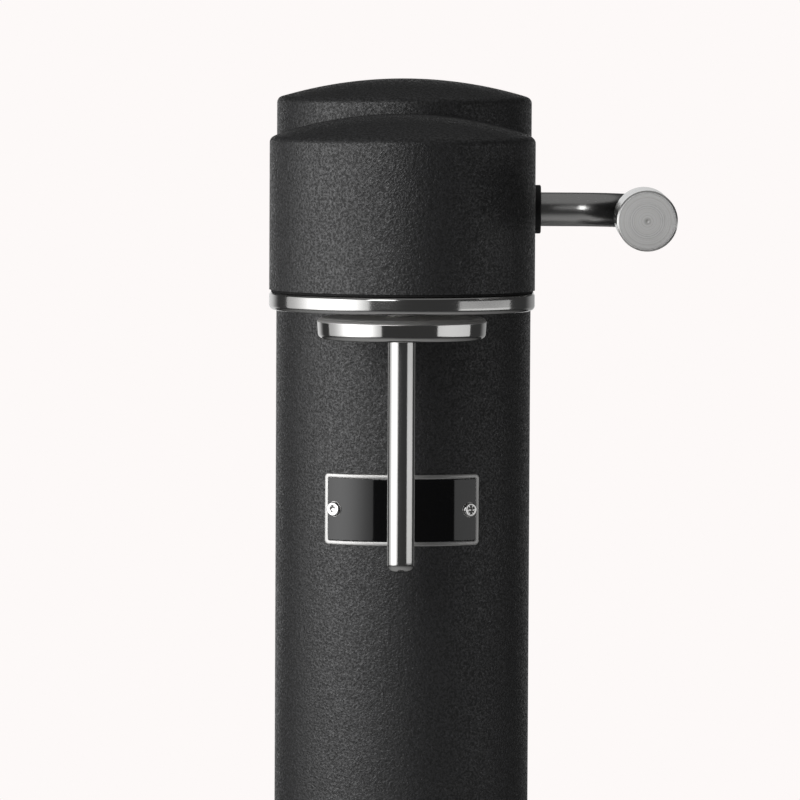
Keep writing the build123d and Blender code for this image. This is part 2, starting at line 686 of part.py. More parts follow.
def nozzle_tube():
    top = holder_low_z + socket_depth + tube_seat
    body = turned([(0, tube_tip_z), (tube_radius, tube_tip_z), (tube_radius, top), (0, top)], 0, nozzle_y,
                  rounds=[(1, tube_round)])
    body -= post(tube_bore, 0, nozzle_y, tube_tip_z + jet_length, top + 1)
    return body - post(jet_radius, 0, nozzle_y, tube_tip_z - 1, tube_tip_z + jet_length + 1)


def plate_screw_angles():
    """Left and right screw of the nameplate, in degrees round the column's front axis."""
    angle = degrees(asin(screw_chord / 2 / (plate_face + screw_rise)))
    return (-angle, angle)


def sector(r_in, r_out, half_angle, height, corner):
    """Piece of a tube round the column's front axis, with round corners as seen from the front."""
    shell = Pos(0, 0, plate_z) * (Cylinder(r_out, height) - Cylinder(r_in, height + 2))
    reach = 2 * r_out
    side = reach * tan(radians(half_angle))
    wedge = make_face(Polyline((0, 0), (-side, -reach), (side, -reach), close=True))
    shell &= extrude(Pos(0, 0, plate_z - height) * wedge, 2 * height)
    upright = shell.edges().filter_by(lambda e: abs(e.length - (r_out - r_in)) < 0.01)
    return Pos(0, column_front_y, 0) * fillet(upright, corner)


def nameplate():
    """Polished plate, its face lowered inside the line and the screw lands, and the enamel in it."""
    half = degrees(asin(plate_chord / 2 / plate_face))
    line = degrees(plate_line / plate_face)
    plate = sector(plate_radius, plate_face, half, plate_height, plate_corner)
    field = sector(plate_face - field_depth, plate_face + 1, half - line, plate_height - 2 * plate_line,
                   field_corner)
    for angle in plate_screw_angles():
        at = around_column(body_radius, angle, plate_z)
        field -= at * Cylinder(screw_land, 4 * plate_sheet)
        plate -= at * Cylinder(screw_radius + running, 4 * plate_sheet)
    inside = Pos(0, column_front_y, plate_z) * Cylinder(plate_face - enamel_below, 2 * plate_height)
    return {"nameplate": plate - field, "nameplate_field": field & inside}


def nameplate_screws():
    """Two button head screws, square to the plate's curved face."""
    screws = []
    for angle in plate_screw_angles():
        head = Cylinder(screw_head, screw_rise, align=(Align.CENTER, Align.CENTER, Align.MIN))
        head = fillet(head.edges().sort_by(Axis.Z)[-1], screw_round)
        shank = Cylinder(screw_radius, screw_length, align=(Align.CENTER, Align.CENTER, Align.MAX))
        socket = Pos(0, 0, screw_rise / 2) * extrude(RegularPolygon(screw_socket, 6), screw_rise)
        at = around_column(plate_face + running, angle, plate_z)
        screws.append(at * (head + shank - socket))
    return Compound(children=screws)


def base():
    body = prism(stadium(base_radius, base_front_y, base_rear_y), sole_thickness, base_top_z)
    body = fillet(body.edges().group_by(Axis.Z)[-1], base_edge)
    body -= post(tray_radius + tray_clearance, 0, nozzle_y, recess_z, base_top_z + 1)
    body -= post(tank_radius + tank_clearance, 0, tank_y, 0, base_top_z + 1)
    for x, y in foot_bolts:
        body -= post(bolt_radius + running, x, y, 0, base_top_z + 1)
        body -= post(bolt_head + fit, x, y, 0, base_bolt_z)
    return body


def base_sole():
    sole = prism(stadium(base_radius - sole_inset, base_front_y, base_rear_y), 0, sole_thickness)
    return sole - post(tank_radius + tank_clearance + sole_inset, 0, tank_y, -1, sole_thickness + 1)


def column_foot():
    outer = stadium(inner_radius - fit, column_front_y, column_rear_y)
    inner = stadium(inner_radius - fit - foot_collar, column_front_y, column_rear_y)
    foot = prism(outer, base_top_z, base_top_z + foot_height)
    foot -= prism(inner, base_top_z + foot_floor, base_top_z + foot_height + 1)
    foot -= post(tank_radius + tank_clearance, 0, tank_y, base_top_z - 1, base_top_z + foot_height + 1)
    for x, y in foot_bolts:
        foot -= post(bolt_radius, x, y, base_top_z - 1, base_top_z + foot_height + 1)
    return foot


def base_screws():
    grip = base_top_z + foot_floor - base_bolt_z
    return Compound(children=[bolt(x, y, base_bolt_z, grip, upwards=True) for x, y in foot_bolts])


def drip_tray():
    low = recess_z + seat_gap
    top = low + tray_height
    r_in = tray_radius - tray_sheet
    return turned([(0, low), (tray_radius, low), (tray_radius, top), (r_in, top), (r_in, low + tray_sheet),
                   (0, low + tray_sheet)], 0, nozzle_y,
                  rounds=[(1, tray_round), (4, tray_round - tray_sheet), (2, 0.35), (3, 0.35)])


nodes = {
    "column_shell": column_shell(), "head_shell": head_shell(), "head_gasket": head_gasket(),
    "head_trim": head_trim(), "head_floor": head_floor(), "chassis": chassis(),
    "chassis_brackets": chassis_brackets(), "chassis_screws": chassis_screws(),
    "lever_bushing": lever_bushing(), "shaft_bushing": shaft_bushing(),
    "rocker_arm": rocker_arm(), "rocker_pin": rocker_pin(), "valve_block": valve_block(),
    "block_screws": block_screws(), "cylinder_seal": cylinder_seal(), "push_pin": push_pin(),
    "pin_spring": pin_spring(),
    "holder_yoke": holder_yoke(), "yoke_screws": yoke_screws(), "holder_pin": holder_pin(),
    "bottle_holder": bottle_holder(), "bottle_seal": bottle_seal(), "nozzle_tube": nozzle_tube(),
    "nameplate_screws": nameplate_screws(), "base": base(), "base_sole": base_sole(),
    "column_foot": column_foot(), "base_screws": base_screws(), "drip_tray": drip_tray(),
    **{f"cylinder_guide_{i + 1}": cylinder_guide(z) for i, z in enumerate(guide_levels)},
    **lever_parts(), **relief(), **tank(), **gas_line(), **nameplate(),
}

os.makedirs("parts", exist_ok=True)
for name, shape in nodes.items():
    export_step(shape, f"parts/{name}.step")
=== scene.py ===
import json
import math
import bmesh
import bpy
import numpy as np
from mathutils import Matrix, Vector


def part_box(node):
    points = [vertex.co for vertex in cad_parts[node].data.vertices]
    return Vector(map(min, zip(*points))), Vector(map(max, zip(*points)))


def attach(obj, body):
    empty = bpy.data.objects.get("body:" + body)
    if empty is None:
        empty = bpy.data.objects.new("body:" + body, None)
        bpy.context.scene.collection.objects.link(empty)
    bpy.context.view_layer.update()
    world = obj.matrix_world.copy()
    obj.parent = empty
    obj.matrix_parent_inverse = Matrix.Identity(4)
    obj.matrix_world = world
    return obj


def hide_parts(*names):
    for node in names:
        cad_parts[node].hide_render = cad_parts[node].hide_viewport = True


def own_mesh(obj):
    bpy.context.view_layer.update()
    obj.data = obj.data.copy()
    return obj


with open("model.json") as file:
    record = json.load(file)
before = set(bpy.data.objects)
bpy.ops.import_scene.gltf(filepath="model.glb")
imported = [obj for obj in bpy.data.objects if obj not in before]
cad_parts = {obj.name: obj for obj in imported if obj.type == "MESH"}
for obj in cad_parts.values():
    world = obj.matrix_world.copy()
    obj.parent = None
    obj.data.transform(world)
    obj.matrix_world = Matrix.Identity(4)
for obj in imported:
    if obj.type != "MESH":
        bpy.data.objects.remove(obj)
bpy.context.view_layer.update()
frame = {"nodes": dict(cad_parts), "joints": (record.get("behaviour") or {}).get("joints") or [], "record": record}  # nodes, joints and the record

mm = 0.001  # shapes below are worked out in millimetres


def span(node):
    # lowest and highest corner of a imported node, in millimetres
    return [np.array(corner, float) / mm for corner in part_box(node)]


columnLow, columnHigh = span("column_shell")
headLow, headHigh = span("head_shell")
bodyRadius = columnHigh[0]  # round ends of column and head
frontY = columnLow[1] + bodyRadius  # axis of the column's round front
rearY = columnHigh[1] - bodyRadius  # axis of its round rear
nozzleY = headLow[1] + bodyRadius  # axis of the head's front, disc, tube and tray
headEndY = headHigh[1]  # where the head's sides stop
seam = 0.15  # joint line between head and column
discAbove = 1.0  # disc's upper face above the nozzle tube's end
tubeLow, tubeHigh = span("nozzle_tube")
discTop = tubeHigh[2] + discAbove  # level of the disc's upper face


# mesh tools: every surface is a grid of points worked out as whole arrays

def gridFaces(rows, columns, loopRows=False, loopColumns=False):
    # quads between neighbouring rows and columns; a looped side joins its last line to its first
    row, column = np.meshgrid(np.arange(rows if loopRows else rows - 1),
                              np.arange(columns if loopColumns else columns - 1), indexing="ij")
    below, beside = (row + 1) % rows, (column + 1) % columns
    corners = [row * columns + column, row * columns + beside,
               below * columns + beside, below * columns + column]
    return np.stack(corners, -1).reshape(-1, 4)


def about(r, angle, h, y=0.0, x=0.0):
    # points at radius r and height h about an upright axis: (x + r sin a, y - r cos a, h)
    return np.stack([x + r * np.sin(angle), y - r * np.cos(angle), h + 0 * (r + angle)], -1)


roundLead = 0.3  # how far outside a rounding its extra point lies, as a share of the rounding
roundLeadMost = 0.2  # and the most of what is left of that side


def outline(corners, steps=7):
    # closed or open outline from (across, up, rounding): a rounding is the arc tangent to both its sides,
    # with one point just outside each end of it, so that flats stay flat in the shading
    points = np.array([corner[:2] for corner in corners], float)
    made = []
    for i, (x, z, rounding) in enumerate(corners):
        if rounding <= 0:
            made.append(points[i][None])
            continue
        toLast = points[i - 1] - points[i]
        toNext = points[(i + 1) % len(corners)] - points[i]
        lengths = np.linalg.norm(toLast), np.linalg.norm(toNext)
        toLast, toNext = toLast / lengths[0], toNext / lengths[1]
        half = math.acos(np.clip(toLast @ toNext, -1, 1)) / 2
        reach = rounding / math.tan(half)
        middle = points[i] + (toLast + toNext) / np.linalg.norm(toLast + toNext) * rounding / math.sin(half)
        start, end = points[i] + toLast * reach - middle, points[i] + toNext * reach - middle
        sweep = math.pi - 2 * half
        t = np.linspace(0, 1, steps + 1)[:, None]
        arc = middle + (np.sin((1 - t) * sweep) * start + np.sin(t * sweep) * end) / math.sin(sweep)
        leads = (reach + min(roundLead * rounding, roundLeadMost * (length - reach)) for length in lengths)
        before, after = (points[i] + way * lead for way, lead in zip((toLast, toNext), leads))
        made.append(np.concatenate([before[None], arc, after[None]]))
    return np.concatenate(made)


def turned(shape, y=0.0, x=0.0, steps=96, closed=False):
    # surface of revolution about an upright axis: (r sin a, -r cos a, h) for each (r, h) of the outline
    angle = np.linspace(0, 2 * math.pi, steps, endpoint=False)
    points = about(shape[:, :1], angle, shape[:, 1:], y, x)
    return points.reshape(-1, 3), gridFaces(len(shape), steps, closed, True)


def carriedRound(shape, yFront, yRear, turns=72):
    # outline carried round two axes on the Y line: its centre stays on one axis for half a turn, then
    # on the other
    half = np.radians(np.linspace(-90, 90, turns + 1))
    angle = np.concatenate([half, half + math.pi])
    centre = np.repeat([yFront, yRear], turns + 1)
    points = about(shape[:, :1], angle, shape[:, 1:], centre)
    return points.reshape(-1, 3), gridFaces(len(shape), len(angle), False, True)


headTurns, sideSteps = 72, 10  # points round the head's front, and along each of its sides


def carriedToColumn(shape, closed=False):
    # outline carried from the column along one side, round the head's front and back along the other side:
    # each of its points runs back to where its own line meets the column's round face, or to the head's end
    half = np.radians(np.linspace(-90, 90, headTurns + 1))
    back = np.linspace(1, 0, sideSteps, endpoint=False)
    angle = np.concatenate([np.full(sideSteps, -math.pi / 2), half, np.full(sideSteps, math.pi / 2)])
    away = np.concatenate([back, 0 * half, back[::-1]])
    r, h = shape[:, :1], shape[:, 1:]
    end = np.minimum(headEndY, frontY - np.sqrt((bodyRadius + seam) ** 2 - r ** 2))
    points = np.stack([r * np.sin(angle), nozzleY + away * (end - nozzleY) - r * np.cos(angle) * (away == 0),
                       h + 0 * angle], -1)
    faces = gridFaces(len(shape), len(angle), closed, False)
    i = np.arange(len(shape) // 2 - (1 if closed else 0))
    j = len(shape) - 1 - i
    inner = j - 1 > i + 1 if closed else j - 1 >= i + 1
    i, j = i[inner], j[inner]
    cap = np.stack([i, i + 1, j - 1, j], -1) * len(angle)  # pairs the outline's two halves across its ends
    return points.reshape(-1, 3), np.concatenate([faces, cap, cap[:, ::-1] + len(angle) - 1])


def placed(surface, matrix):
    # the same surface turned and moved
    points, faces = surface
    turn = np.array(matrix)
    return points @ turn[:3, :3].T + turn[:3, 3], faces


sameSpot, noLength = 2e-6, 1e-7  # metres within which points merge, and edges count as nothing


def smoothed(piece, sharp=32.0):
    # doubles merged, faces turned outwards, and only edges above the given turn left sharp
    made = bmesh.new()
    made.from_mesh(piece.data)
    bmesh.ops.remove_doubles(made, verts=made.verts, dist=sameSpot)
    bmesh.ops.dissolve_degenerate(made, edges=made.edges, dist=noLength)
    bmesh.ops.recalc_face_normals(made, faces=made.faces)
    made.to_mesh(piece.data)
    made.free()
    piece.data.polygons.foreach_set("use_smooth", np.ones(len(piece.data.polygons), bool))
    piece.data.set_sharp_from_angle(angle=math.radians(sharp))


def linked(name, data):
    made = bpy.data.objects.new(name, data)
    bpy.context.scene.collection.objects.link(made)
    return made


def makeMesh(name, surfaces):
    points, faces, base = [], [], 0
    for surfacePoints, surfaceFaces in surfaces:
        points.append(surfacePoints * mm)
        faces.extend((surfaceFaces + base).tolist())
        base += len(surfacePoints)
    mesh = bpy.data.meshes.new(name)
    mesh.from_pydata(np.concatenate(points).tolist(), [], faces)
    return linked(name, mesh)


def finishPiece(piece, finish, body, nodes):
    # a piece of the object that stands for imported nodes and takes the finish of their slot, or a kin of it
    piece.data.materials.append(finishes[finish])
    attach(piece, body)
    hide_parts(*nodes)
    return piece


def makePiece(name, surfaces, finish, body, nodes, cutters=(), sharp=32.0):
    piece = makeMesh(name, surfaces)
    smoothed(piece, sharp)
    if cutters:
        cutAway(piece, cutters)
    return finishPiece(piece, finish, body, nodes)


def cutAway(piece, cutters, how="DIFFERENCE"):
    # closed surfaces taken away from a piece, or joined to it
    tools = []
    for number, cutter in enumerate(cutters):
        tool = makeMesh(f"{piece.name}_cut{number}", [cutter])
        smoothed(tool)
        tools.append(tool)
        cut = piece.modifiers.new("cut", "BOOLEAN")
        cut.object, cut.operation, cut.solver = tool, how, "EXACT"
    result = bpy.data.meshes.new_from_object(piece.evaluated_get(bpy.context.evaluated_depsgraph_get()))
    piece.modifiers.clear()
    piece.data = result
    for tool in tools:
        bpy.data.objects.remove(tool)
    smoothed(piece)


def post(radius, x, y, low, high, steps=96):
    # closed upright cylinder
    return turned(np.array([(0, low), (radius, low), (radius, high), (0, high)], float), y, x, steps)


def drill(radius, half, steps=96, x=0):
    # closed upright cylinder that reaches as far up as down
    return post(radius, x, 0, -half, half, steps)


def blockSurface(low, high):
    # closed box between two corners
    pick = np.array(np.meshgrid([0, 1], [0, 1], [0, 1], indexing="ij")).reshape(3, -1).T
    points = np.where(pick, high, low).astype(float)
    faces = [(0, 1, 3, 2), (4, 6, 7, 5), (0, 4, 5, 1), (2, 3, 7, 6), (0, 2, 6, 4), (1, 5, 7, 3)]
    return points, np.array(faces)


def axesAt(axes, at):
    # matrix whose own X, Y and Z are the three given axes, at a place
    place = Matrix.Identity(4)
    for i, axis in enumerate(axes):
        place.col[i][:3] = axis
    place.translation = at
    return place


alongX = Matrix.Rotation(math.radians(90), 4, "Y")  # turns an upright axis to +X


# materials

def addNode(tree, kind, feeds=None, **settings):
    # a node with its settings, and its inputs given as numbers or as the outputs that feed them
    made = tree.nodes.new("ShaderNode" + kind)
    for key, value in settings.items():
        setattr(made, key, value)
    for key, value in (feeds or {}).items():
        if isinstance(value, bpy.types.NodeSocket):
            tree.links.new(value, made.inputs[key])
        else:
            made.inputs[key].default_value = value
    return made


def mathNode(tree, operation, *values):
    return addNode(tree, "Math", dict(enumerate(values)), operation=operation).outputs[0]


def placeIn(tree):
    return addNode(tree, "TexCoord").outputs["Object"]


def ranged(tree, value, low, high, lowIn, highIn, how="LINEAR"):
    # a value taken from one range to another, and held at its ends
    feeds = {"Value": value, "From Min": lowIn, "From Max": highIn, "To Min": low, "To Max": high}
    return addNode(tree, "MapRange", feeds, interpolation_type=how).outputs["Result"]


def newGroup(name, inputs, outputs):
    group = bpy.data.node_groups.new(name, "ShaderNodeTree")
    for label, value in inputs.items():
        made = group.interface.new_socket(label, in_out="INPUT", socket_type="NodeSocketFloat")
        made.default_value = value
    for label in outputs:
        group.interface.new_socket(label, in_out="OUTPUT", socket_type="NodeSocketFloat")
    return group, group.nodes.new("NodeGroupInput").outputs, group.nodes.new("NodeGroupOutput").inputs


midNoise = (0.3, 0.7)  # where nearly all of a noise's values lie
speckLook = {"finerScale": 0.42, "finerShare": 0.6, "toneGain": 4.0, "darkest": 0.15}
leastRough = 0.03


def speckGroup():
    # Height: grains of one size with a finer crust on them. Tone: how light each grain is, about 1
    group, given, put = newGroup("speck", {"Scale": 2000.0, "Contrast": 0.4}, ["Height", "Tone"])
    place = placeIn(group)
    coarse = addNode(group, "TexNoise", {"Vector": place, "Scale": given["Scale"], "Detail": 2.0,
                                         "Roughness": 0.6}).outputs["Fac"]
    finer = mathNode(group, "MULTIPLY", given["Scale"], speckLook["finerScale"])
    grain = addNode(group, "TexNoise", {"Vector": place, "Scale": finer, "Detail": 1.0}).outputs["Fac"]
    group.links.new(mathNode(group, "MULTIPLY_ADD", grain, speckLook["finerShare"], coarse), put["Height"])
    off = mathNode(group, "SUBTRACT", coarse, 0.5)
    gain = mathNode(group, "MULTIPLY", given["Contrast"], speckLook["toneGain"])
    tone = mathNode(group, "MULTIPLY_ADD", off, gain, 1.0)
    group.links.new(mathNode(group, "MAXIMUM", tone, speckLook["darkest"]), put["Tone"])
    return group


def smudgeGroup():
    # Mask: slow cloudy changes, 0 to 1, as handling leaves them
    group, given, put = newGroup("smudge", {"Scale": 30.0, "Low": 0.35, "High": 0.7}, ["Mask"])
    cloud = addNode(group, "TexNoise", {"Vector": placeIn(group), "Scale": given["Scale"], "Detail": 4.0})
    mask = ranged(group, cloud.outputs["Fac"], 0.0, 1.0, given["Low"], given["High"])
    group.links.new(mask, put["Mask"])
    return group


def hairlineGroup():
    # Height of fine polishing lines: noise that is stretched by different amounts along X, Y and Z
    inputs = dict.fromkeys(("Across X", "Across Y", "Across Z"), 40.0)
    group, given, put = newGroup("hairline", inputs, ["Height"])
    stretch = addNode(group, "CombineXYZ", {axis: given["Across " + axis] for axis in "XYZ"}).outputs[0]
    seen = addNode(group, "VectorMath", {0: placeIn(group), 1: stretch}, operation="MULTIPLY").outputs[0]
    lines = addNode(group, "TexNoise", {"Vector": seen, "Scale": 1.0, "Detail": 3.0, "Roughness": 0.7})
    group.links.new(lines.outputs["Fac"], put["Height"])
    return group


groups = {"speck": speckGroup(), "smudge": smudgeGroup(), "hairline": hairlineGroup()}


def useGroup(tree, name, feeds):
    return addNode(tree, "Group", feeds, node_tree=groups[name]).outputs


def startFinish(name, look, **plain):
    # material with one Principled BSDF whose uniform values are set on its own sockets
    material = bpy.data.materials.new(name)
    material.use_nodes = True
    shader = material.node_tree.nodes["Principled BSDF"]
    plain.update({"Base Color": look["colour"], "Roughness": look["roughness"]})
    for key, value in plain.items():
        shader.inputs[key.replace("_", " ")].default_value = value
    material.diffuse_color = look["colour"]
    return material, material.node_tree, shader


def tinted(tree, colour, tone):
    # a colour made lighter or darker by a tone about 1
    return addNode(tree, "VectorMath", {0: colour[:3], "Scale": tone}, operation="SCALE").outputs[0]


def hazy(tree, look):
    # roughness with slow changes
    smudge = useGroup(tree, "smudge", {"Scale": look["haze"]})
    return mathNode(tree, "MULTIPLY_ADD", smudge["Mask"], look["dull"], look["roughness"])


def lined(tree, look, noise):
    # tone about 1 that follows a noise
    return ranged(tree, noise, 1 - look["contrast"], 1 + look["contrast"], *midNoise)


def dressed(tree, shader, look, tone, rough, height):
    # colour by a tone about 1, roughness, and relief of a depth in millimetres
    tree.links.new(tinted(tree, look["colour"], tone), shader.inputs["Base Color"])
    tree.links.new(rough, shader.inputs["Roughness"])
    if look["depth"]:
        bump = addNode(tree, "Bump", {"Height": height, "Distance": look["depth"] * mm})
        tree.links.new(bump.outputs[0], shader.inputs["Normal"])


def coatFinish(name, look):
    # textured powder coat: grains in colour, roughness and height over slow changes
    material, tree, shader = startFinish(name, look, Specular_IOR_Level=look["gloss"])
    speck = useGroup(tree, "speck", {"Scale": look["grains"], "Contrast": look["contrast"]})
    spread = mathNode(tree, "MULTIPLY_ADD", speck["Tone"], -look["sparkle"], look["sparkle"])
    rough = mathNode(tree, "ADD", hazy(tree, look), spread)
    dressed(tree, shader, look, speck["Tone"], rough, speck["Height"])
    return material


def metalFinish(name, look):
    # metal with hairlines in height and roughness, and a slow haze
    material, tree, shader = startFinish(name, look, Metallic=1.0)
    across = {"Across " + axis: fine for axis, fine in zip("XYZ", look["lines"])}
    lines = useGroup(tree, "hairline", across)["Height"]
    spread = mathNode(tree, "MULTIPLY_ADD", lines, look["lineRough"], hazy(tree, look))
    rough = mathNode(tree, "MAXIMUM", spread, leastRough)
    dressed(tree, shader, look, lined(tree, look, lines), rough, lines)
    return material


def turnedFinish(name, look):
    # polished metal whose face, past one level of an axis, is turned: rings of fine grooves about that axis;
    # the turned face's colour is painted lighter, a painted sheen, and less so round its middle, painted
    # shade at the centre dimple
    material, tree, shader = startFinish(name, look, Metallic=1.0)
    parts = addNode(tree, "SeparateXYZ", {0: placeIn(tree)}).outputs
    across, up = (mathNode(tree, "SUBTRACT", parts[axis], middle * mm)
                  for axis, middle in zip(look["axes"], look["middle"]))
    reach = mathNode(tree, "SQRT", mathNode(tree, "ADD", mathNode(tree, "MULTIPLY", across, across),
                                            mathNode(tree, "MULTIPLY", up, up)))
    rings = addNode(tree, "TexNoise", {"W": reach, "Scale": look["rings"], "Detail": 2.0, "Roughness": 0.7},
                    noise_dimensions="1D").outputs["Fac"]
    face = ranged(tree, parts[look["axes"][2]], 1.0, 0.0, look["faceFrom"] * mm, look["faceTo"] * mm)
    side = hazy(tree, look)
    turnedRough = ranged(tree, rings, *look["faceRough"], *midNoise)
    more = mathNode(tree, "MULTIPLY", face, mathNode(tree, "SUBTRACT", turnedRough, side))
    # painted sheen: the turned face's colour raised, less so near the middle, where that is painted shade at
    # the centre dimple
    paintedSheen = ranged(tree, reach, look["paintedCentreTone"], look["paintedFaceTone"], look["markFrom"] * mm, look["markTo"] * mm)
    shade = mathNode(tree, "MULTIPLY_ADD", lined(tree, look, rings), paintedSheen, -1.0)
    fade = mathNode(tree, "MULTIPLY_ADD", face, shade, 1.0)
    dressed(tree, shader, look, fade, mathNode(tree, "ADD", more, side),
            mathNode(tree, "MULTIPLY", rings, face))
    return material


def softFinish(name, look):
    # plastic, rubber, silicone or enamel with fine grain
    material, tree, shader = startFinish(name, look, Specular_IOR_Level=look["gloss"],
                                         Transmission_Weight=look["clear"])
    speck = useGroup(tree, "speck", {"Scale": look["grains"], "Contrast": look["contrast"]})
    dressed(tree, shader, look, speck["Tone"], hazy(tree, look), speck["Height"])
    return material


steel = (0.66, 0.655, 0.645, 1)
coat = {"colour": (0.02, 0.02, 0.021, 1), "roughness": 0.47, "gloss": 0.8, "grains": 1120.0, "contrast": 2.2,
        "sparkle": 0.15, "depth": 0.27, "haze": 24.0, "dull": -0.04}
coatLooks = {"powder_coat": coat, "base_coat": {**coat, "roughness": 0.49}}


def table(names, rows):
    # looks by name, from rows of values in the order of the names
    return {key: dict(zip(names, row)) for key, row in rows.items()}


# lines: how fine the polishing lines are along X, Y and Z
# haze: scale of the slow changes; dull: what they add to the roughness
metalLooks = table(("colour", "roughness", "lines", "haze", "contrast", "dull", "lineRough", "depth"), {
    "polished_steel": (steel, 0.085, (60.0, 60.0, 2500.0), 40.0, 0.02, 0.02, 0.05, 0.0),
    "plate_steel": (steel, 0.36, (60.0, 60.0, 2500.0), 40.0, 0.03, 0.04, 0.08, 0.0),
    "satin_steel": (steel, 0.2, (60.0, 2500.0, 2500.0), 40.0, 0.03, 0.04, 0.08, 0.0),
    "stem_steel": (steel, 0.1, (2500.0, 2500.0, 60.0), 40.0, 0.03, 0.03, 0.06, 0.0),
    "sheet_steel": ((0.52, 0.53, 0.55, 1), 0.3, (90.0, 1500.0, 900.0), 50.0, 0.08, 0.15, 0.15, 0.006),
    "machined_steel": ((0.56, 0.56, 0.57, 1), 0.22, (700.0, 700.0, 2500.0), 70.0, 0.06, 0.1, 0.15, 0.005),
    "spring_steel": ((0.42, 0.42, 0.44, 1), 0.25, (900.0, 900.0, 900.0), 90.0, 0.1, 0.1, 0.1, 0.004),
    "brass": ((0.68, 0.50, 0.24, 1), 0.24, (500.0, 500.0, 2200.0), 70.0, 0.07, 0.12, 0.15, 0.005),
    "cylinder_paint": ((0.60, 0.61, 0.63, 1), 0.3, (500.0, 500.0, 40.0), 25.0, 0.05, 0.12, 0.1, 0.004),
})
# the turned faces' colour is painted lighter, a painted sheen; on the grip it is painted darker near the
# middle, painted shade at the centre dimple
turnedLooks = {
    "turned_steel": {"colour": steel, "roughness": 0.12, "haze": 60.0, "dull": 0.03, "axes": "XZY",
                     "middle": (90.2, 362.9), "rings": 2600.0, "faceFrom": -129.95, "faceTo": -129.2,
                     # the grip face's tone, and the lower tone near its middle: painted sheen, and painted
                     # shade at the centre dimple
                     "faceRough": (0.44, 0.62), "paintedFaceTone": 1.45, "paintedCentreTone": 1.05, "markFrom": 0.6,
                     "markTo": 1.5, "contrast": 0.16, "depth": 0.012},
    "disc_steel": {"colour": steel, "roughness": 0.08, "haze": 40.0, "dull": 0.02, "axes": "XYZ",
                   "middle": (0.0, nozzleY), "rings": 2600.0, "faceFrom": discTop - 1.4,
                   "faceTo": discTop - 2.1, "faceRough": (0.6, 0.8), "paintedFaceTone": 1.35, "paintedCentreTone": 1.35,
                   "markFrom": 0.0, "markTo": 1.0, "contrast": 0.08, "depth": 0.006},
}
# clear: how much light goes through
softLooks = table(("colour", "roughness", "gloss", "grains", "contrast", "haze", "dull", "depth", "clear"), {
    "black_rubber": ((0.012, 0.012, 0.012, 1), 0.7, 0.35, 2600.0, 0.5, 30.0, 0.08, 0.03, 0.0),
    "black_plastic": ((0.016, 0.016, 0.017, 1), 0.45, 0.5, 3000.0, 0.3, 30.0, 0.06, 0.02, 0.0),
    "black_enamel": ((0.004, 0.004, 0.0045, 1), 0.05, 0.6, 900.0, 0.2, 30.0, 0.02, 0.0006, 0.0),
    "silicone": ((0.72, 0.72, 0.69, 1), 0.4, 0.45, 1800.0, 0.06, 30.0, 0.06, 0.01, 0.25),
    "cap_red": ((0.42, 0.02, 0.015, 1), 0.25, 0.5, 2500.0, 0.1, 30.0, 0.06, 0.008, 0.0),
})
finishes = {name: make(name, look)
            for make, looks in ((coatFinish, coatLooks), (metalFinish, metalLooks),
                                (turnedFinish, turnedLooks), (softFinish, softLooks))
            for name, look in looks.items()}

for item in frame["nodes"].values():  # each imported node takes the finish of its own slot
    item.data.materials.clear()
for row in frame["record"]["subparts"]:
    frame["nodes"][row["node"]].data.materials.append(finishes[row["material_slot"]])
print("finishes made", len(finishes))


# column and head

cornerPoints, domePoints = 10, 26
sideLead = 0.5  # how far below its rounding a side's top point lies


def domedSheet(radius, low, top, rise, edge, wall):
    # half section of a domed sheet shell, from the inside of the crown to the rim and up the outside:
    # the crown is an arc of a sphere through its top and its edge, and a smaller arc tangent to that
    # sphere and to the side rounds the edge
    def skin(r, crown, rounding):
        sphere = (r ** 2 + rise ** 2) / (2 * rise)
        up = crown - sphere
        across = r - rounding
        height = up + math.sqrt((sphere - rounding) ** 2 - across ** 2)
        lean = math.atan2(height - up, across)
        turn = np.linspace(0, lean, cornerPoints)
        corner = np.stack([across + rounding * np.cos(turn), height + rounding * np.sin(turn)], -1)
        climb = np.linspace(lean, math.pi / 2, domePoints)[1:]
        dome = np.stack([sphere * np.cos(climb), up + sphere * np.sin(climb)], -1)
        dome[-1, 0] = 0.0
        side = np.array([(r, low), (r, height - sideLead)])
        return np.concatenate([side, corner, dome])
    inside = skin(radius - wall, top - wall, edge - wall)
    return np.concatenate([inside[::-1], skin(radius, top, edge)])


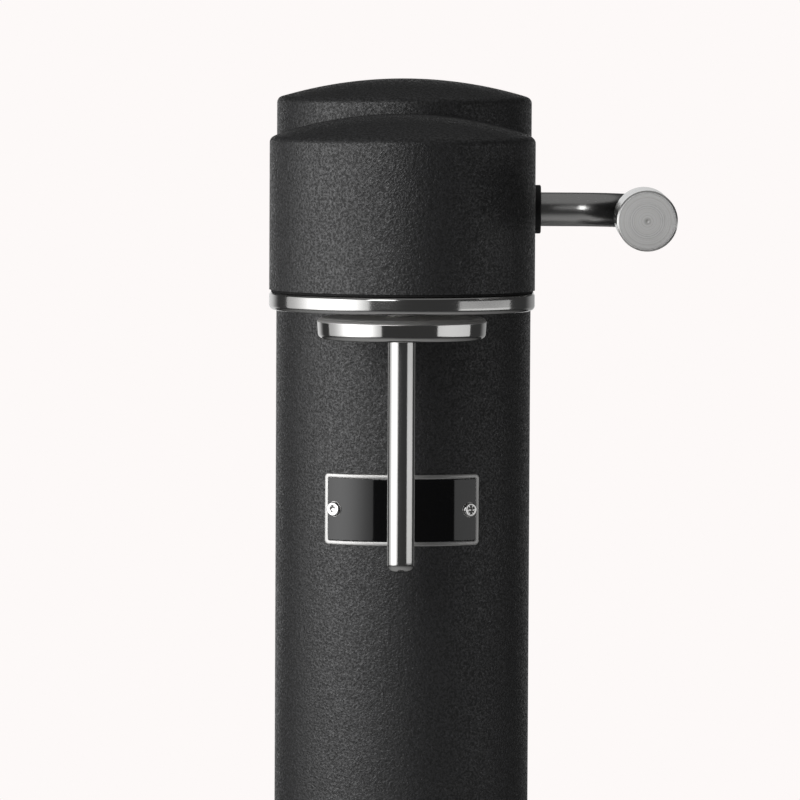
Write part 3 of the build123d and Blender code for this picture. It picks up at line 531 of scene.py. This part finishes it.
shellShape = {
    "wall": 1.0, "edgeRound": 2.6, "columnRise": 7.5, "headRise": 8.6,
    "windowHalf": 41.0, "windowLow": 346.0, "windowHigh": 389.0,  # column's opening for the chassis
    "leverHole": 8.05, "screwHole": 1.55, "beyond": 5.0, "holeHalf": 3.0, "leverHoleHalf": 6.0,
}
leverJoint = next(joint for joint in frame["joints"] if joint["name"] == "lever_turn")
leverY, leverZ = leverJoint["pos_m"][1] / mm, leverJoint["pos_m"][2] / mm
pivot = Matrix.Translation((0, leverY, leverZ))
leverAxis = pivot @ alongX
plateLow, plateHigh = span("nameplate")
plateZ = (plateLow[2] + plateHigh[2]) / 2
plateFace = frontY - plateLow[1]  # radius of the nameplate's polished face
nameplateShape = {
    "line": 1.6, "fieldDepth": 0.2, "fieldCorner": 0.6, "corner": 1.6, "enamelBelow": 0.05, "edge": 0.12,
    "lineRound": 0.65, "linePoints": 9,
    "screwChord": 53.6, "land": 3.05, "headRadius": 2.8, "headRise": 1.2, "headRound": 0.5,
    "socket": 1.15, "shank": 1.5, "reach": 7.0, "sheet": 1.0, "clearance": 0.05,
    "underRound": 0.12, "shankRound": 0.3, "headPoints": 72, "socketRim": 1.06, "socketFloor": 0.42,
    "socketPit": 0.25, "socketFoot": 0.96, "socketStep": 0.05, "socketTop": 0.09,
    "landDepth": 0.6, "landBelow": 0.004, "landGap": 0.01, "holeHalf": 3.0,
    "enamelGap": 0.01, "enamelEdge": ((0.01, 0.06), (0.03, 0.02), (0.08, 0.0), (0.5, 0.0)),
    "sliceHalf": 30.0, "sliceWide": 1.2,
}
screwAngle = math.asin(nameplateShape["screwChord"] / 2 / (plateFace + nameplateShape["headRise"]))
bothSides = (-1, 1)


def aroundColumn(radius, angle, z):
    # place on the column's round front whose own Z points straight out
    out = Vector((math.sin(angle), -math.cos(angle), 0))
    across = Vector((math.cos(angle), math.sin(angle), 0))
    return axesAt((across, out.cross(across), out), Vector((0, frontY, z)) + out * radius)


look = shellShape
outside = domedSheet(bodyRadius, columnLow[2], columnHigh[2],
                     look["columnRise"], look["edgeRound"], look["wall"])
window = blockSurface(np.array([-look["windowHalf"], columnLow[1] - look["beyond"], look["windowLow"]]),
                      np.array([look["windowHalf"], frontY, look["windowHigh"]]))
hole = drill(look["screwHole"], look["holeHalf"], 32)
screwHoles = [placed(hole, aroundColumn(bodyRadius, side * screwAngle, plateZ)) for side in bothSides]
makePiece("column_sheet", [carriedRound(outside, frontY, rearY)], "powder_coat", "frame", ["column_shell"],
          [window, *screwHoles])

outside = domedSheet(bodyRadius, headLow[2], headHigh[2], look["headRise"], look["edgeRound"], look["wall"])
leverHole = placed(post(look["leverHole"], 0, 0, bodyRadius - look["leverHoleHalf"],
                        bodyRadius + look["leverHoleHalf"]), leverAxis)
makePiece("head_sheet", [carriedToColumn(outside)], "powder_coat", "frame", ["head_shell"], [leverHole])

bandShape = {"trimLow": 1.9, "trimTop": 1.3, "gasketEdge": 0.15, "innerEdge": 0.3, "depth": 4.5}
gasketLow, gasketHigh = span("head_gasket")
trimLow, trimHigh = span("head_trim")
bandInside = bodyRadius - bandShape["depth"]  # both bands share the trim's inner side
gasket = outline([(bandInside, gasketLow[2], 0), (gasketHigh[0], gasketLow[2], bandShape["gasketEdge"]),
                  (gasketHigh[0], gasketHigh[2], bandShape["gasketEdge"]), (bandInside, gasketHigh[2], 0)], 4)
trim = outline([(bandInside, trimLow[2], bandShape["innerEdge"]),
                (bodyRadius, trimLow[2], bandShape["trimLow"]),
                (bodyRadius, trimHigh[2], bandShape["trimTop"]), (bandInside, trimHigh[2], 0)], 12)
makePiece("head_gasket_band", [carriedToColumn(gasket, closed=True)], "black_rubber", "frame",
          ["head_gasket"])
makePiece("head_trim_band", [carriedToColumn(trim, closed=True)], "polished_steel", "frame", ["head_trim"])
print("column and head made")


# lever

leverShape = {
    "rod": 6.5, "shaft": 5.0, "neck": 4.2, "shoulder": 36.0, "bend": 24.0, "droop": 0.8,
    "gripReach": 105.0, "gripLength": 40.0, "gripSocket": 5.0, "gripBevel": 0.7,
    "centreMark": 0.7, "centreDepth": 0.15,
    "shaftBevel": 0.3, "grooveFrom": 2.0, "grooveTo": 3.2, "bendLead": 1.0, "bendSteps": 25,
    "markRound": 0.1, "bevelRound": 0.12, "gripBoreRound": 0.2, "ringPoints": 48,
    "bushingBore": 6.55, "bushingShank": 8.0, "bushingRound": 0.6, "bushingBoreRound": 0.2,
    "bushingEndRound": 0.3, "flangeRound": 0.15, "mouthRound": 0.35, "flangeGap": 0.05,
}


def sweptRod(centres, ways, radii, around):
    # circle carried along a line in a level plane: centre + radius (cos t up + sin t sideways)
    turn = np.linspace(0, 2 * math.pi, around, endpoint=False)
    up = np.array([0, 0, 1.0])
    side = np.cross(ways, up)
    ring = np.cos(turn)[None, :, None] * up + np.sin(turn)[None, :, None] * side[:, None, :]
    points = centres[:, None, :] + radii[:, None, None] * ring
    return points.reshape(-1, 3), gridFaces(len(centres), around, False, True)


def leverSurfaces(look):
    # rod from its shaft end along X, round the bend and forwards into the grip; and the grip, turned
    # about its own axis
    tipX = span("lever_rod")[0][0]
    gripLow, gripHigh = span("lever_grip")
    gripX = (gripLow[0] + gripHigh[0]) / 2
    shaft, neck, thick, bend = look["shaft"], look["neck"], look["rod"], look["bend"]
    grooveFrom, grooveTo = tipX + look["grooveFrom"], tipX + look["grooveTo"]
    steps = [(tipX, 0), (tipX, shaft - look["shaftBevel"]), (tipX + look["shaftBevel"], shaft),
             (grooveFrom, shaft), (grooveFrom, neck), (grooveTo, neck), (grooveTo, shaft),
             (look["shoulder"], shaft), (look["shoulder"], thick), (gripX - bend - look["bendLead"], thick)]
    straight = np.array([(x, leverY, leverZ, 1.0, 0, 0, r) for x, r in steps])
    turn = np.linspace(0, math.pi / 2, look["bendSteps"])[:, None]
    centre = np.array([gripX - bend, leverY - bend, leverZ])
    arc = np.concatenate([centre + bend * np.concatenate([np.sin(turn), np.cos(turn), 0 * turn], 1),
                          np.cos(turn), -np.sin(turn), 0 * turn, thick + 0 * turn], 1)
    gripY, gripLength = leverY - look["gripReach"], look["gripLength"]  # face, before the droop
    endY = gripY + gripLength - look["gripSocket"]
    ahead = np.array([(gripX, y, leverZ, 0, -1.0, 0, r)
                      for y, r in ((leverY - bend - look["bendLead"], thick), (endY, thick), (endY, 0))])
    line = np.concatenate([straight, arc, ahead])
    rod = sweptRod(line[:, :3], line[:, 3:6], line[:, 6], look["ringPoints"])
    r = (gripHigh[0] - gripLow[0]) / 2
    bevel, soft, floor = look["gripBevel"], look["bevelRound"], gripLength - look["gripSocket"]
    shape = outline([(0, look["centreDepth"], 0), (look["centreMark"], 0, look["markRound"]),
                     (r - bevel, 0, soft), (r, bevel, soft), (r, gripLength - bevel, soft),
                     (r - bevel, gripLength, soft), (thick, gripLength, look["gripBoreRound"]),
                     (thick, floor, 0), (0, floor, 0)], 4)
    toRear = Matrix.Translation((gripX, gripY, leverZ)) @ Matrix.Rotation(math.radians(-90), 4, "X")
    grip = placed(turned(shape), toRear)
    droop = pivot @ Matrix.Rotation(math.radians(look["droop"]), 4, "X") @ pivot.inverted()
    return placed(rod, droop), placed(grip, droop)


rod, grip = leverSurfaces(leverShape)
makePiece("lever_bar", [rod], "satin_steel", "lever", ["lever_rod"])
makePiece("lever_handle", [grip], "turned_steel", "lever", ["lever_grip"], sharp=25.0)

look = leverShape
bushLow, bushHigh = span("lever_bushing")
flangeX = bodyRadius + look["flangeGap"]
bush = outline([(look["bushingBore"], bushLow[0], look["bushingBoreRound"]),
                (look["bushingShank"], bushLow[0], look["bushingEndRound"]),
                (look["bushingShank"], flangeX, 0), (bushHigh[1] - leverY, flangeX, look["flangeRound"]),
                (bushHigh[1] - leverY, bushHigh[0], look["bushingRound"]),
                (look["bushingBore"], bushHigh[0], look["mouthRound"])], 6)
makePiece("bushing_ring", [placed(turned(bush, closed=True), leverAxis)], "black_plastic", "frame",
          ["lever_bushing"])
print("lever made")


# bottle holder and nozzle

holderShape = {
    "bevel": 1.5, "lowBevelRound": 1.0, "topBevelRound": 2.0, "taper": 0.4, "footRound": 2.2,
    "neck": 5.5, "neckFoot": 0.4, "hubHalf": 6.5, "pinHole": 2.55, "pinHoleHalf": 20.0,
    "socket": 17.0, "socketDepth": 6.3,
    "thread": 0.8, "threadStart": 1.2, "threadPitch": 2.4, "threadTurns": 1.5, "threadFade": 0.12,
    "ridgeHalf": 0.85, "ridgeSlope": 0.5, "threadSteps": 96, "threadLevels": 53,
    "tube": 5.2, "tubeSeat": 1.0, "bore": 2.6, "tipRound": 3.2, "jet": 0.6, "jetLength": 4.0,
}


def threadedWall(look, y, low):
    # socket wall whose radius shrinks along a helix: how far it shrinks depends on the height less the
    # helix's own height at that angle, and it fades out at both ends of the thread
    steps, levels = look["threadSteps"], look["threadLevels"]
    angle = np.linspace(0, 2 * math.pi, steps, endpoint=False)
    h = np.linspace(0, look["socketDepth"], levels)[:, None]
    turnsUp = (h - look["threadStart"]) / look["threadPitch"] - angle / (2 * math.pi)
    nearest = np.clip(np.round(turnsUp), 0, 1)
    off = np.abs(turnsUp - nearest) * look["threadPitch"]
    along = nearest + angle / (2 * math.pi)
    fade = np.clip(np.minimum(along, look["threadTurns"] - along) / look["threadFade"], 0, 1)
    ridge = np.clip((look["ridgeHalf"] - off) / look["ridgeSlope"], 0, 1)
    r = look["socket"] - look["thread"] * ridge * fade * fade * (3 - 2 * fade)
    return about(r, angle, low + h, y).reshape(-1, 3), gridFaces(levels, steps, False, True)


look = holderShape
discHigh = span("bottle_holder")[1]
discRadius = discHigh[0]
foot = tubeHigh[2] - look["tubeSeat"] - look["socketDepth"]  # disc's underside
tiltZ = discHigh[2] - look["neck"]
shape = outline([(look["socket"], foot, 0), (discRadius - look["taper"], foot, look["footRound"]),
                 (discRadius, discTop - look["bevel"], look["lowBevelRound"]),
                 (discRadius - look["bevel"], discTop, look["topBevelRound"]),
                 (look["neck"], discTop, look["neckFoot"]), (look["neck"], tiltZ, 0), (0, tiltZ, 0)], 8)
seat = np.array([(look["socket"], foot + look["socketDepth"]), (look["tube"], foot + look["socketDepth"]),
                 (look["tube"], tubeHigh[2]), (0, tubeHigh[2])])
tiltAxis = Matrix.Translation((0, nozzleY, tiltZ)) @ alongX
hub = placed(drill(look["neck"], look["hubHalf"], 64), tiltAxis)
pinHole = placed(drill(look["pinHole"], look["pinHoleHalf"], 48), tiltAxis)
disc = makeMesh("holder_disc",
                [turned(shape, nozzleY), threadedWall(look, nozzleY, foot), turned(seat, nozzleY)])
smoothed(disc)
cutAway(disc, [hub], "UNION")
cutAway(disc, [pinHole])
finishPiece(disc, "disc_steel", "holder", ["bottle_holder"])
jetTop = tubeLow[2] + look["jetLength"]
shape = outline([(look["jet"], tubeLow[2], 0), (tubeHigh[0], tubeLow[2], look["tipRound"]),
                 (tubeHigh[0], tubeHigh[2], 0), (look["bore"], tubeHigh[2], 0),
                 (look["bore"], jetTop, 0), (look["jet"], jetTop, 0)], 10)
makePiece("nozzle_stem", [turned(shape, nozzleY, closed=True)], "stem_steel", "holder", ["nozzle_tube"])
print("bottle holder and nozzle made")


# nameplate

sidePoints, bendPoints = 61, 13  # points along each side of a plate, and round each corner
rayStart, rayRounds = 1.01, 80  # where rays start, as a share of the diagonal, and steps in


def roundRectangle(halfWide, halfHigh, corner, rays):
    # distance along each ray from the middle out to a rectangle with round corners, found by
    # stepping in from outside by what is left to its edge
    reach = math.hypot(halfWide, halfHigh) * rayStart + 0 * rays
    for _ in range(rayRounds):
        x, y = np.abs(reach * np.cos(rays)), np.abs(reach * np.sin(rays))
        qx, qy = x - (halfWide - corner), y - (halfHigh - corner)
        within = np.minimum(np.maximum(qx, qy), 0)
        apart = np.hypot(np.maximum(qx, 0), np.maximum(qy, 0)) + within - corner
        reach = reach - np.maximum(apart, 0)
    return reach


def plateLoops(steps, halfWide, halfHigh, corner, cornerLoss):
    # closed flat body from (inset, height) steps: each is a loop on the same rays round the middle, a
    # rectangle smaller by the inset, its corners tighter by that share of it; None closes it in the middle
    along = np.linspace(-1, 1, sidePoints)
    bend = np.radians(np.linspace(0, 90, bendPoints))
    x = np.concatenate([halfWide + 0 * along, halfWide - corner + corner * np.cos(bend), halfWide * along])
    y = np.concatenate([halfHigh * along, halfHigh - corner + corner * np.sin(bend), halfHigh + 0 * along])
    rays = np.arctan2(y, x)
    rays = np.concatenate([rays, -rays, math.pi - rays, math.pi + rays]) % (2 * math.pi)
    rays = np.unique(np.round(rays, 6))
    rows = []
    for inset, height in steps:
        if inset is None:
            reach = 0 * rays
        else:
            reach = roundRectangle(halfWide - inset, halfHigh - inset, corner - cornerLoss * inset, rays)
        rows.append(np.stack([reach * np.cos(rays), reach * np.sin(rays), height + 0 * rays], -1))
    return np.concatenate(rows), gridFaces(len(steps), len(rays), False, True)


def wrapRound(piece, look):
    # flat body cut into upright slices, then carried round the column: angle = place along it / face radius
    made = bmesh.new()
    made.from_mesh(piece.data)
    for u in np.arange(-look["sliceHalf"], look["sliceHalf"] + look["sliceWide"] / 2, look["sliceWide"]):
        geometry = made.verts[:] + made.edges[:] + made.faces[:]
        bmesh.ops.bisect_plane(made, geom=geometry, dist=noLength, plane_co=(u * mm, 0, 0),
                               plane_no=(1, 0, 0))
    bmesh.ops.connect_verts_concave(made, faces=made.faces)
    made.to_mesh(piece.data)
    made.free()
    flat = np.zeros(len(piece.data.vertices) * 3)
    piece.data.vertices.foreach_get("co", flat)
    u, v, h = flat.reshape(-1, 3).T / mm
    wrapped = about(plateFace + h, u / plateFace, plateZ + v, frontY) * mm
    piece.data.vertices.foreach_set("co", wrapped.ravel())
    piece.data.update()
    smoothed(piece)


def buttonHead(look, place):
    # domed head turned about its own axis, with a six-sided socket whose loops follow the hexagon's sides:
    # radius = flat distance / cos(angle from the middle of the nearest side)
    angle = np.linspace(0, 2 * math.pi, look["headPoints"], endpoint=False)
    side = math.pi / 3  # angle that one side of the hexagon takes up
    flat = look["socket"] * math.cos(side / 2)
    hexagon = flat / np.cos((angle + side / 2) % side - side / 2)
    top, floor = look["headRise"], look["headRise"] * look["socketFloor"]
    shape = outline([(look["socket"] * look["socketRim"], top, 0),
                     (look["headRadius"], top, look["headRound"]),
                     (look["headRadius"], 0.0, look["underRound"]), (look["shank"], 0.0, 0),
                     (look["shank"], -look["reach"], look["shankRound"]), (0, -look["reach"], 0)], 9)
    rows = [(0 * angle, floor - look["socketPit"]), (hexagon * look["socketFoot"], floor),
            (hexagon, floor + look["socketStep"]), (hexagon, top - look["socketTop"])]
    rows += [(r + 0 * angle, h) for r, h in shape]
    r = np.stack([row[0] for row in rows])
    points = about(r, angle, np.array([row[1] for row in rows])[:, None]).reshape(-1, 3)
    return placed((points, gridFaces(len(rows), look["headPoints"], False, True)), place)


look = nameplateShape
halfWide = math.asin(plateHigh[0] / plateFace) * plateFace  # along the curve, from the middle
halfHigh = (plateHigh[2] - plateLow[2]) / 2
line, edge, deep = look["line"], look["edge"], look["fieldDepth"]
loss = (look["corner"] - look["fieldCorner"]) / line
quarter = [(look["lineRound"] * (1 - math.cos(t)), deep * (math.sin(t) - 1))
           for t in np.radians(np.linspace(0, 90, look["linePoints"]))]
steps = [(None, -look["sheet"]), (0, -look["sheet"]), (0, -2 * deep), *quarter]
steps += [(line - inset, height) for inset, height in quarter[::-1]]
steps += [(None, -deep)]
plate = makeMesh("nameplate_plate", [plateLoops(steps, halfWide, halfHigh, look["corner"], loss)])
smoothed(plate)
screwAlong = screwAngle * plateFace
landLow, landTop = -look["landDepth"], -look["landBelow"]
land = outline([(0, landLow, 0), (look["land"], landLow, 0),
                (look["land"], landTop, edge), (0, landTop, 0)], 4)
cutAway(plate, [turned(land, 0, side * screwAlong) for side in bothSides], "UNION")
cutAway(plate, [drill(look["shank"] + look["clearance"], look["holeHalf"], 48, side * screwAlong)
                for side in bothSides])
wrapRound(plate, look)
finishPiece(plate, "plate_steel", "frame", ["nameplate"])
below, gap = -look["enamelBelow"], look["enamelGap"]
steps = [(None, gap - deep), (line + gap, gap - deep)]
steps += [(line + inset, below - drop) for inset, drop in look["enamelEdge"]] + [(None, below)]
enamel = makeMesh("nameplate_enamel", [plateLoops(steps, halfWide, halfHigh, look["corner"], loss)])
smoothed(enamel)
cutAway(enamel, [drill(look["land"] + look["landGap"], look["holeHalf"], x=side * screwAlong)
                 for side in bothSides])
wrapRound(enamel, look)
finishPiece(enamel, "black_enamel", "frame", ["nameplate_field"])
heads = [buttonHead(look, aroundColumn(plateFace + look["clearance"], side * screwAngle, plateZ))
         for side in bothSides]
makePiece("nameplate_buttons", heads, "polished_steel", "frame", ["nameplate_screws"])
print("nameplate made")


# return spring of the push pin

springShape = {
    "wire": 0.4,  # radius of the wire
    "turns": 4, "stepsPerTurn": 48, "wirePoints": 12, "seatGap": 0.1, "travel": 2.6,
}


def coil(look, low, high):
    # round wire along a helix: its centre is (R cos a, R sin a) at a height that grows with a, and its
    # section lies across the helix's own way; the first and last rings close to a point
    wire, around = look["wire"], look["wirePoints"]
    radius = (high[0] - low[0]) / 2 - wire
    angle = np.linspace(0, 2 * math.pi * look["turns"], look["stepsPerTurn"] * look["turns"] + 1)[:, None]
    rise = (high[2] - low[2] - 2 * wire) / angle[-1, 0]
    out = np.concatenate([np.cos(angle), np.sin(angle), 0 * angle], 1)
    way = np.concatenate([-radius * np.sin(angle), radius * np.cos(angle), rise + 0 * angle], 1)
    across = np.cross(way / np.linalg.norm(way, axis=1)[:, None], out)
    middle = np.array([(low[0] + high[0]) / 2, (low[1] + high[1]) / 2, low[2] + wire])
    centre = middle + out * radius + angle * [0, 0, rise]
    turn = np.linspace(0, 2 * math.pi, around, endpoint=False)[None, :, None]
    ring = wire * (np.cos(turn) * out[:, None] + np.sin(turn) * across[:, None])
    rings = np.concatenate([0 * ring[:1], ring, 0 * ring[-1:]])
    points = np.concatenate([centre[:1], centre, centre[-1:]])[:, None] + rings
    return points.reshape(-1, 3), gridFaces(len(rings), around, False, True)


look = springShape
springLow, springHigh = span("pin_spring")
spring = makePiece("return_spring", [coil(look, springLow, springHigh)], "spring_steel", "frame",
                   ["pin_spring"], sharp=60.0)
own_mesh(spring)
print("spring made")


# base and drip tray

baseShape = {
    "edge": 3.0, "lowEdge": 0.4, "trayGap": 0.4, "trayFloor": 9.0, "cylinderHole": 32.0,
    "boltHole": 2.05, "boltHead": 3.7, "boltDepth": 7.0, "bolts": [(-42, 75), (42, 75), (-30, 13), (30, 13)],
    "traySheet": 0.9, "trayRound": 4.0, "trayRim": 0.35, "beyond": 5.0,
}
look = baseShape
baseLow, baseHigh = span("base")
trayLow, trayHigh = span("drip_tray")
baseRadius = baseHigh[0]
shape = outline([(0, baseLow[2], 0), (baseRadius, baseLow[2], look["lowEdge"]),
                 (baseRadius, baseHigh[2], look["edge"]), (0, baseHigh[2], 0)], 12)
above = baseHigh[2] + look["beyond"]
holes = [post(trayHigh[0] + look["trayGap"], 0, nozzleY, look["trayFloor"], above, 192),
         post(look["cylinderHole"], 0, rearY, baseLow[2] - look["beyond"], above, 128)]
for x, y in look["bolts"]:
    holes += [post(look["boltHole"], x, y, 0, above, 32),
              post(look["boltHead"], x, y, 0, look["boltDepth"], 32)]
makePiece("base_casting", [carriedRound(shape, baseLow[1] + baseRadius, baseHigh[1] - baseRadius, 96)],
          "base_coat", "frame", ["base"], holes)
r, sheet, rim = trayHigh[0], look["traySheet"], look["trayRim"]
low, top = trayLow[2], trayHigh[2]
shape = outline([(0, low, 0), (r, low, look["trayRound"]), (r, top, rim), (r - sheet, top, rim),
                 (r - sheet, low + sheet, look["trayRound"] - sheet), (0, low + sheet, 0)], 8)
makePiece("drip_dish", [turned(shape, nozzleY, steps=160)], "polished_steel", "tray", ["drip_tray"])
print("base and tray made")


# floor, surroundings, lamps and camera

backdrop = (0.983, 0.947, 0.939, 1)
stageLook = {
    "floorRadius": 2.2, "litRadius": 1.05, "floorColour": (0.8, 0.8, 0.8, 1), "floorGlow": 0.62,
    "floorLevel": -0.05,  # just under the feet, so that the two faces never coincide
    "middleRing": 100.0, "fadeFrom": 0.45, "fadeTo": 1.0, "grain": 900.0, "grainTone": (0.97, 1.03),
    # the floor's colour as lamps and reflections see it, from near the stage to far off: painted lighter near
    # and darker far, a painted pool of light
    "lightNear": 0.12, "lightFar": 0.75, "nearPaintedLight": 1.15, "farPaintedShade": 0.15,  # floor's own light falls off
    "front": 0.055, "ceiling": 0.26, "rear": 0.95, "rearTop": 0.1, "rearFade": 0.22, "rearRight": 0.4,
    "rearFrom": 0.7, "rearTo": 0.95, "sideFrom": 0.0, "sideTo": 0.3, "ceilingFrom": 0.58, "ceilingTo": 0.68,
}


def mixed(tree, share, first, second):
    return addNode(tree, "MixShader", {0: share, 1: first, 2: second}).outputs[0]


def seenOrLit(tree, lit, seen):
    # one look for everything that light reaches, another for the camera alone
    return mixed(tree, addNode(tree, "LightPath").outputs["Is Camera Ray"], lit, seen)


def floorFinish(look):
    # pale diffuse floor; towards its rim what the camera sees of it turns into the backdrop's own colour;
    # what everything else sees has a painted pool of light, its colour painted lighter near the stage and
    # darker away from it
    material = bpy.data.materials.new("floor_paper")
    material.use_nodes = True
    tree = material.node_tree
    tree.nodes.clear()
    place = placeIn(tree)
    distance = addNode(tree, "VectorMath", {0: place}, operation="LENGTH").outputs["Value"]
    grain = addNode(tree, "TexNoise", {"Vector": place, "Scale": look["grain"], "Detail": 2.0}).outputs["Fac"]
    # painted pool of light: the floor's colour falls with distance from the stage
    spread = ranged(tree, distance, look["nearPaintedLight"], look["farPaintedShade"], look["lightNear"], look["lightFar"])
    tones = ranged(tree, grain, *look["grainTone"], *midNoise), spread
    diffuse, paintedFalloffBounce = (addNode(tree, "BsdfDiffuse", {"Color": tinted(tree, look["floorColour"], tone)})
                       .outputs[0] for tone in tones)
    glow = addNode(tree, "Emission", {"Color": backdrop, "Strength": look["floorGlow"]}).outputs[0]
    lit = addNode(tree, "AddShader", {0: diffuse, 1: glow}).outputs[0]
    plain = addNode(tree, "Emission", {"Color": backdrop}).outputs[0]
    fade = ranged(tree, distance, 0.0, 1.0, look["fadeFrom"], look["fadeTo"], "SMOOTHSTEP")
    clear = addNode(tree, "BsdfTransparent").outputs[0]  # past the lit part only the camera sees the floor
    bounced = mixed(tree, mathNode(tree, "GREATER_THAN", distance, look["litRadius"]), paintedFalloffBounce, clear)
    both = seenOrLit(tree, bounced, mixed(tree, fade, lit, plain))
    addNode(tree, "OutputMaterial", {"Surface": both})
    return material


floorRings = (0, stageLook["middleRing"], stageLook["floorRadius"] / mm)
floor = makeMesh("studio_floor", [turned(np.array([(r, stageLook["floorLevel"]) for r in floorRings]))])
floor.data.materials.append(floorFinish(stageLook))


def surroundings(look):
    # what lies round the stage, by direction: dark in front and beside, white behind, a grey ceiling
    world = bpy.data.worlds.new("studio")
    bpy.context.scene.world = world
    world.use_nodes = True
    tree = world.node_tree
    tree.nodes.clear()
    way = addNode(tree, "TexCoord").outputs["Generated"]
    rise = addNode(tree, "SeparateXYZ", {0: way}).outputs["Z"]
    level = addNode(tree, "VectorMath", {0: way, 1: (1, 1, 0)}, operation="MULTIPLY").outputs[0]
    straight = addNode(tree, "VectorMath", {0: level}, operation="NORMALIZE").outputs[0]
    compass = addNode(tree, "SeparateXYZ", {0: straight}).outputs

    def step(value, low, high, start, end):
        return ranged(tree, value, low, high, look[start], look[end], "SMOOTHSTEP")
    low = step(rise, look["rear"] - look["front"], 0, "rearTop", "rearFade")
    back = mathNode(tree, "MULTIPLY", step(compass["Y"], 0, 1, "rearFrom", "rearTo"),
                    step(compass["X"], 1, look["rearRight"], "sideFrom", "sideTo"))
    walls = mathNode(tree, "MULTIPLY_ADD", back, low, look["front"])
    ceiling = step(rise, 0, 1, "ceilingFrom", "ceilingTo")
    glow = mathNode(tree, "MULTIPLY_ADD", ceiling, mathNode(tree, "SUBTRACT", look["ceiling"], walls), walls)
    lit = addNode(tree, "Background", {"Strength": glow}).outputs[0]
    plain = addNode(tree, "Background", {"Color": backdrop}).outputs[0]
    addNode(tree, "OutputWorld", {"Surface": seenOrLit(tree, lit, plain)})


surroundings(stageLook)


def softbox(name, look):
    # upright panel that faces the stage from an angle off the front, -X side positive; brightness over it is
    # edge + (hot - edge) * exp(-(sideways / width)^2 - (up / height)^2) about its hot spot
    out = Vector((-math.sin(math.radians(look["angle"])), -math.cos(math.radians(look["angle"])), 0))
    across = Vector((0, 0, 1)).cross(out)
    lamp = bpy.data.lights.new(name, "AREA")
    lamp.shape, lamp.size, lamp.size_y = "RECTANGLE", look["right"] - look["left"], look["top"] - look["low"]
    lamp.energy = math.pi * lamp.size * lamp.size_y  # so that a strength of 1 is white
    holder = linked(name, lamp)
    middle = (out * look["distance"] + across * (look["left"] + look["right"]) / 2
              + Vector((0, 0, (look["low"] + look["top"]) / 2)))
    holder.matrix_world = axesAt((across, Vector((0, 0, 1)), out), middle)
    holder.visible_camera = False
    lamp.use_nodes = True
    tree = lamp.node_tree
    emission = next(node for node in tree.nodes if node.type == "EMISSION")
    spot = addNode(tree, "NewGeometry").outputs["Parametric"]
    parts = addNode(tree, "SeparateXYZ", {0: spot})
    terms = []
    for axis, size, low, middle, wide in (("X", lamp.size, look["left"], look["hotAcross"], look["hotWide"]),
                                          ("Y", lamp.size_y, look["low"], look["hotUp"], look["hotHigh"])):
        off = mathNode(tree, "MULTIPLY_ADD", parts.outputs[axis], size / wide, (low - middle) / wide)
        terms.append(mathNode(tree, "MULTIPLY", off, off))
    fall = mathNode(tree, "EXPONENT", mathNode(tree, "MULTIPLY", mathNode(tree, "ADD", *terms), -1.0))
    strength = mathNode(tree, "MULTIPLY_ADD", fall, look["hot"] - look["edge"], look["edge"])
    tree.links.new(strength, emission.inputs["Strength"])


# left, right, low and top: its edges in metres; the rest as in the formula above
softboxes = table(("angle", "distance", "left", "right", "low", "top",
                   "edge", "hot", "hotAcross", "hotUp", "hotWide", "hotHigh"), {
    "softbox_left": (72.0, 1.0, -0.9, 1.05, 0.0, 0.72, 0.5, 2.85, 0.27, 0.3, 0.5, 0.38),
    "softbox_high": (16.0, 1.25, -0.25, 0.25, 0.4, 0.95, 0.9, 5.2, 0.0, 0.65, 0.24, 0.3),
    "softbox_right": (-75.0, 1.0, -0.53, 0.53, 0.11, 0.29, 0.7, 0.85, -0.2, 0.2, 0.6, 0.3),
})
for name, look in softboxes.items():
    softbox(name, look)

cameraPlace = {"from": (0.0133, -2.2853, 0.4231), "down": 3.354, "left": 0.359, "roll": 0.29, "lens": 264.45,
               "sensor": 36.0, "nearest": 0.05, "farthest": 50.0}
camera = linked("camera", bpy.data.cameras.new("camera"))
turns = [(cameraPlace["left"], "Z"), (90 - cameraPlace["down"], "X"), (cameraPlace["roll"], "Z")]
aim = Matrix.Translation(cameraPlace["from"])
for angle, axis in turns:
    aim = aim @ Matrix.Rotation(math.radians(angle), 4, axis)
camera.matrix_world = aim
camera.data.sensor_width, camera.data.lens = cameraPlace["sensor"], cameraPlace["lens"]
camera.data.clip_start, camera.data.clip_end = cameraPlace["nearest"], cameraPlace["farthest"]
bpy.context.scene.camera = camera
bpy.context.scene.view_settings.view_transform = "Standard"
print("stage, lamps and camera placed")
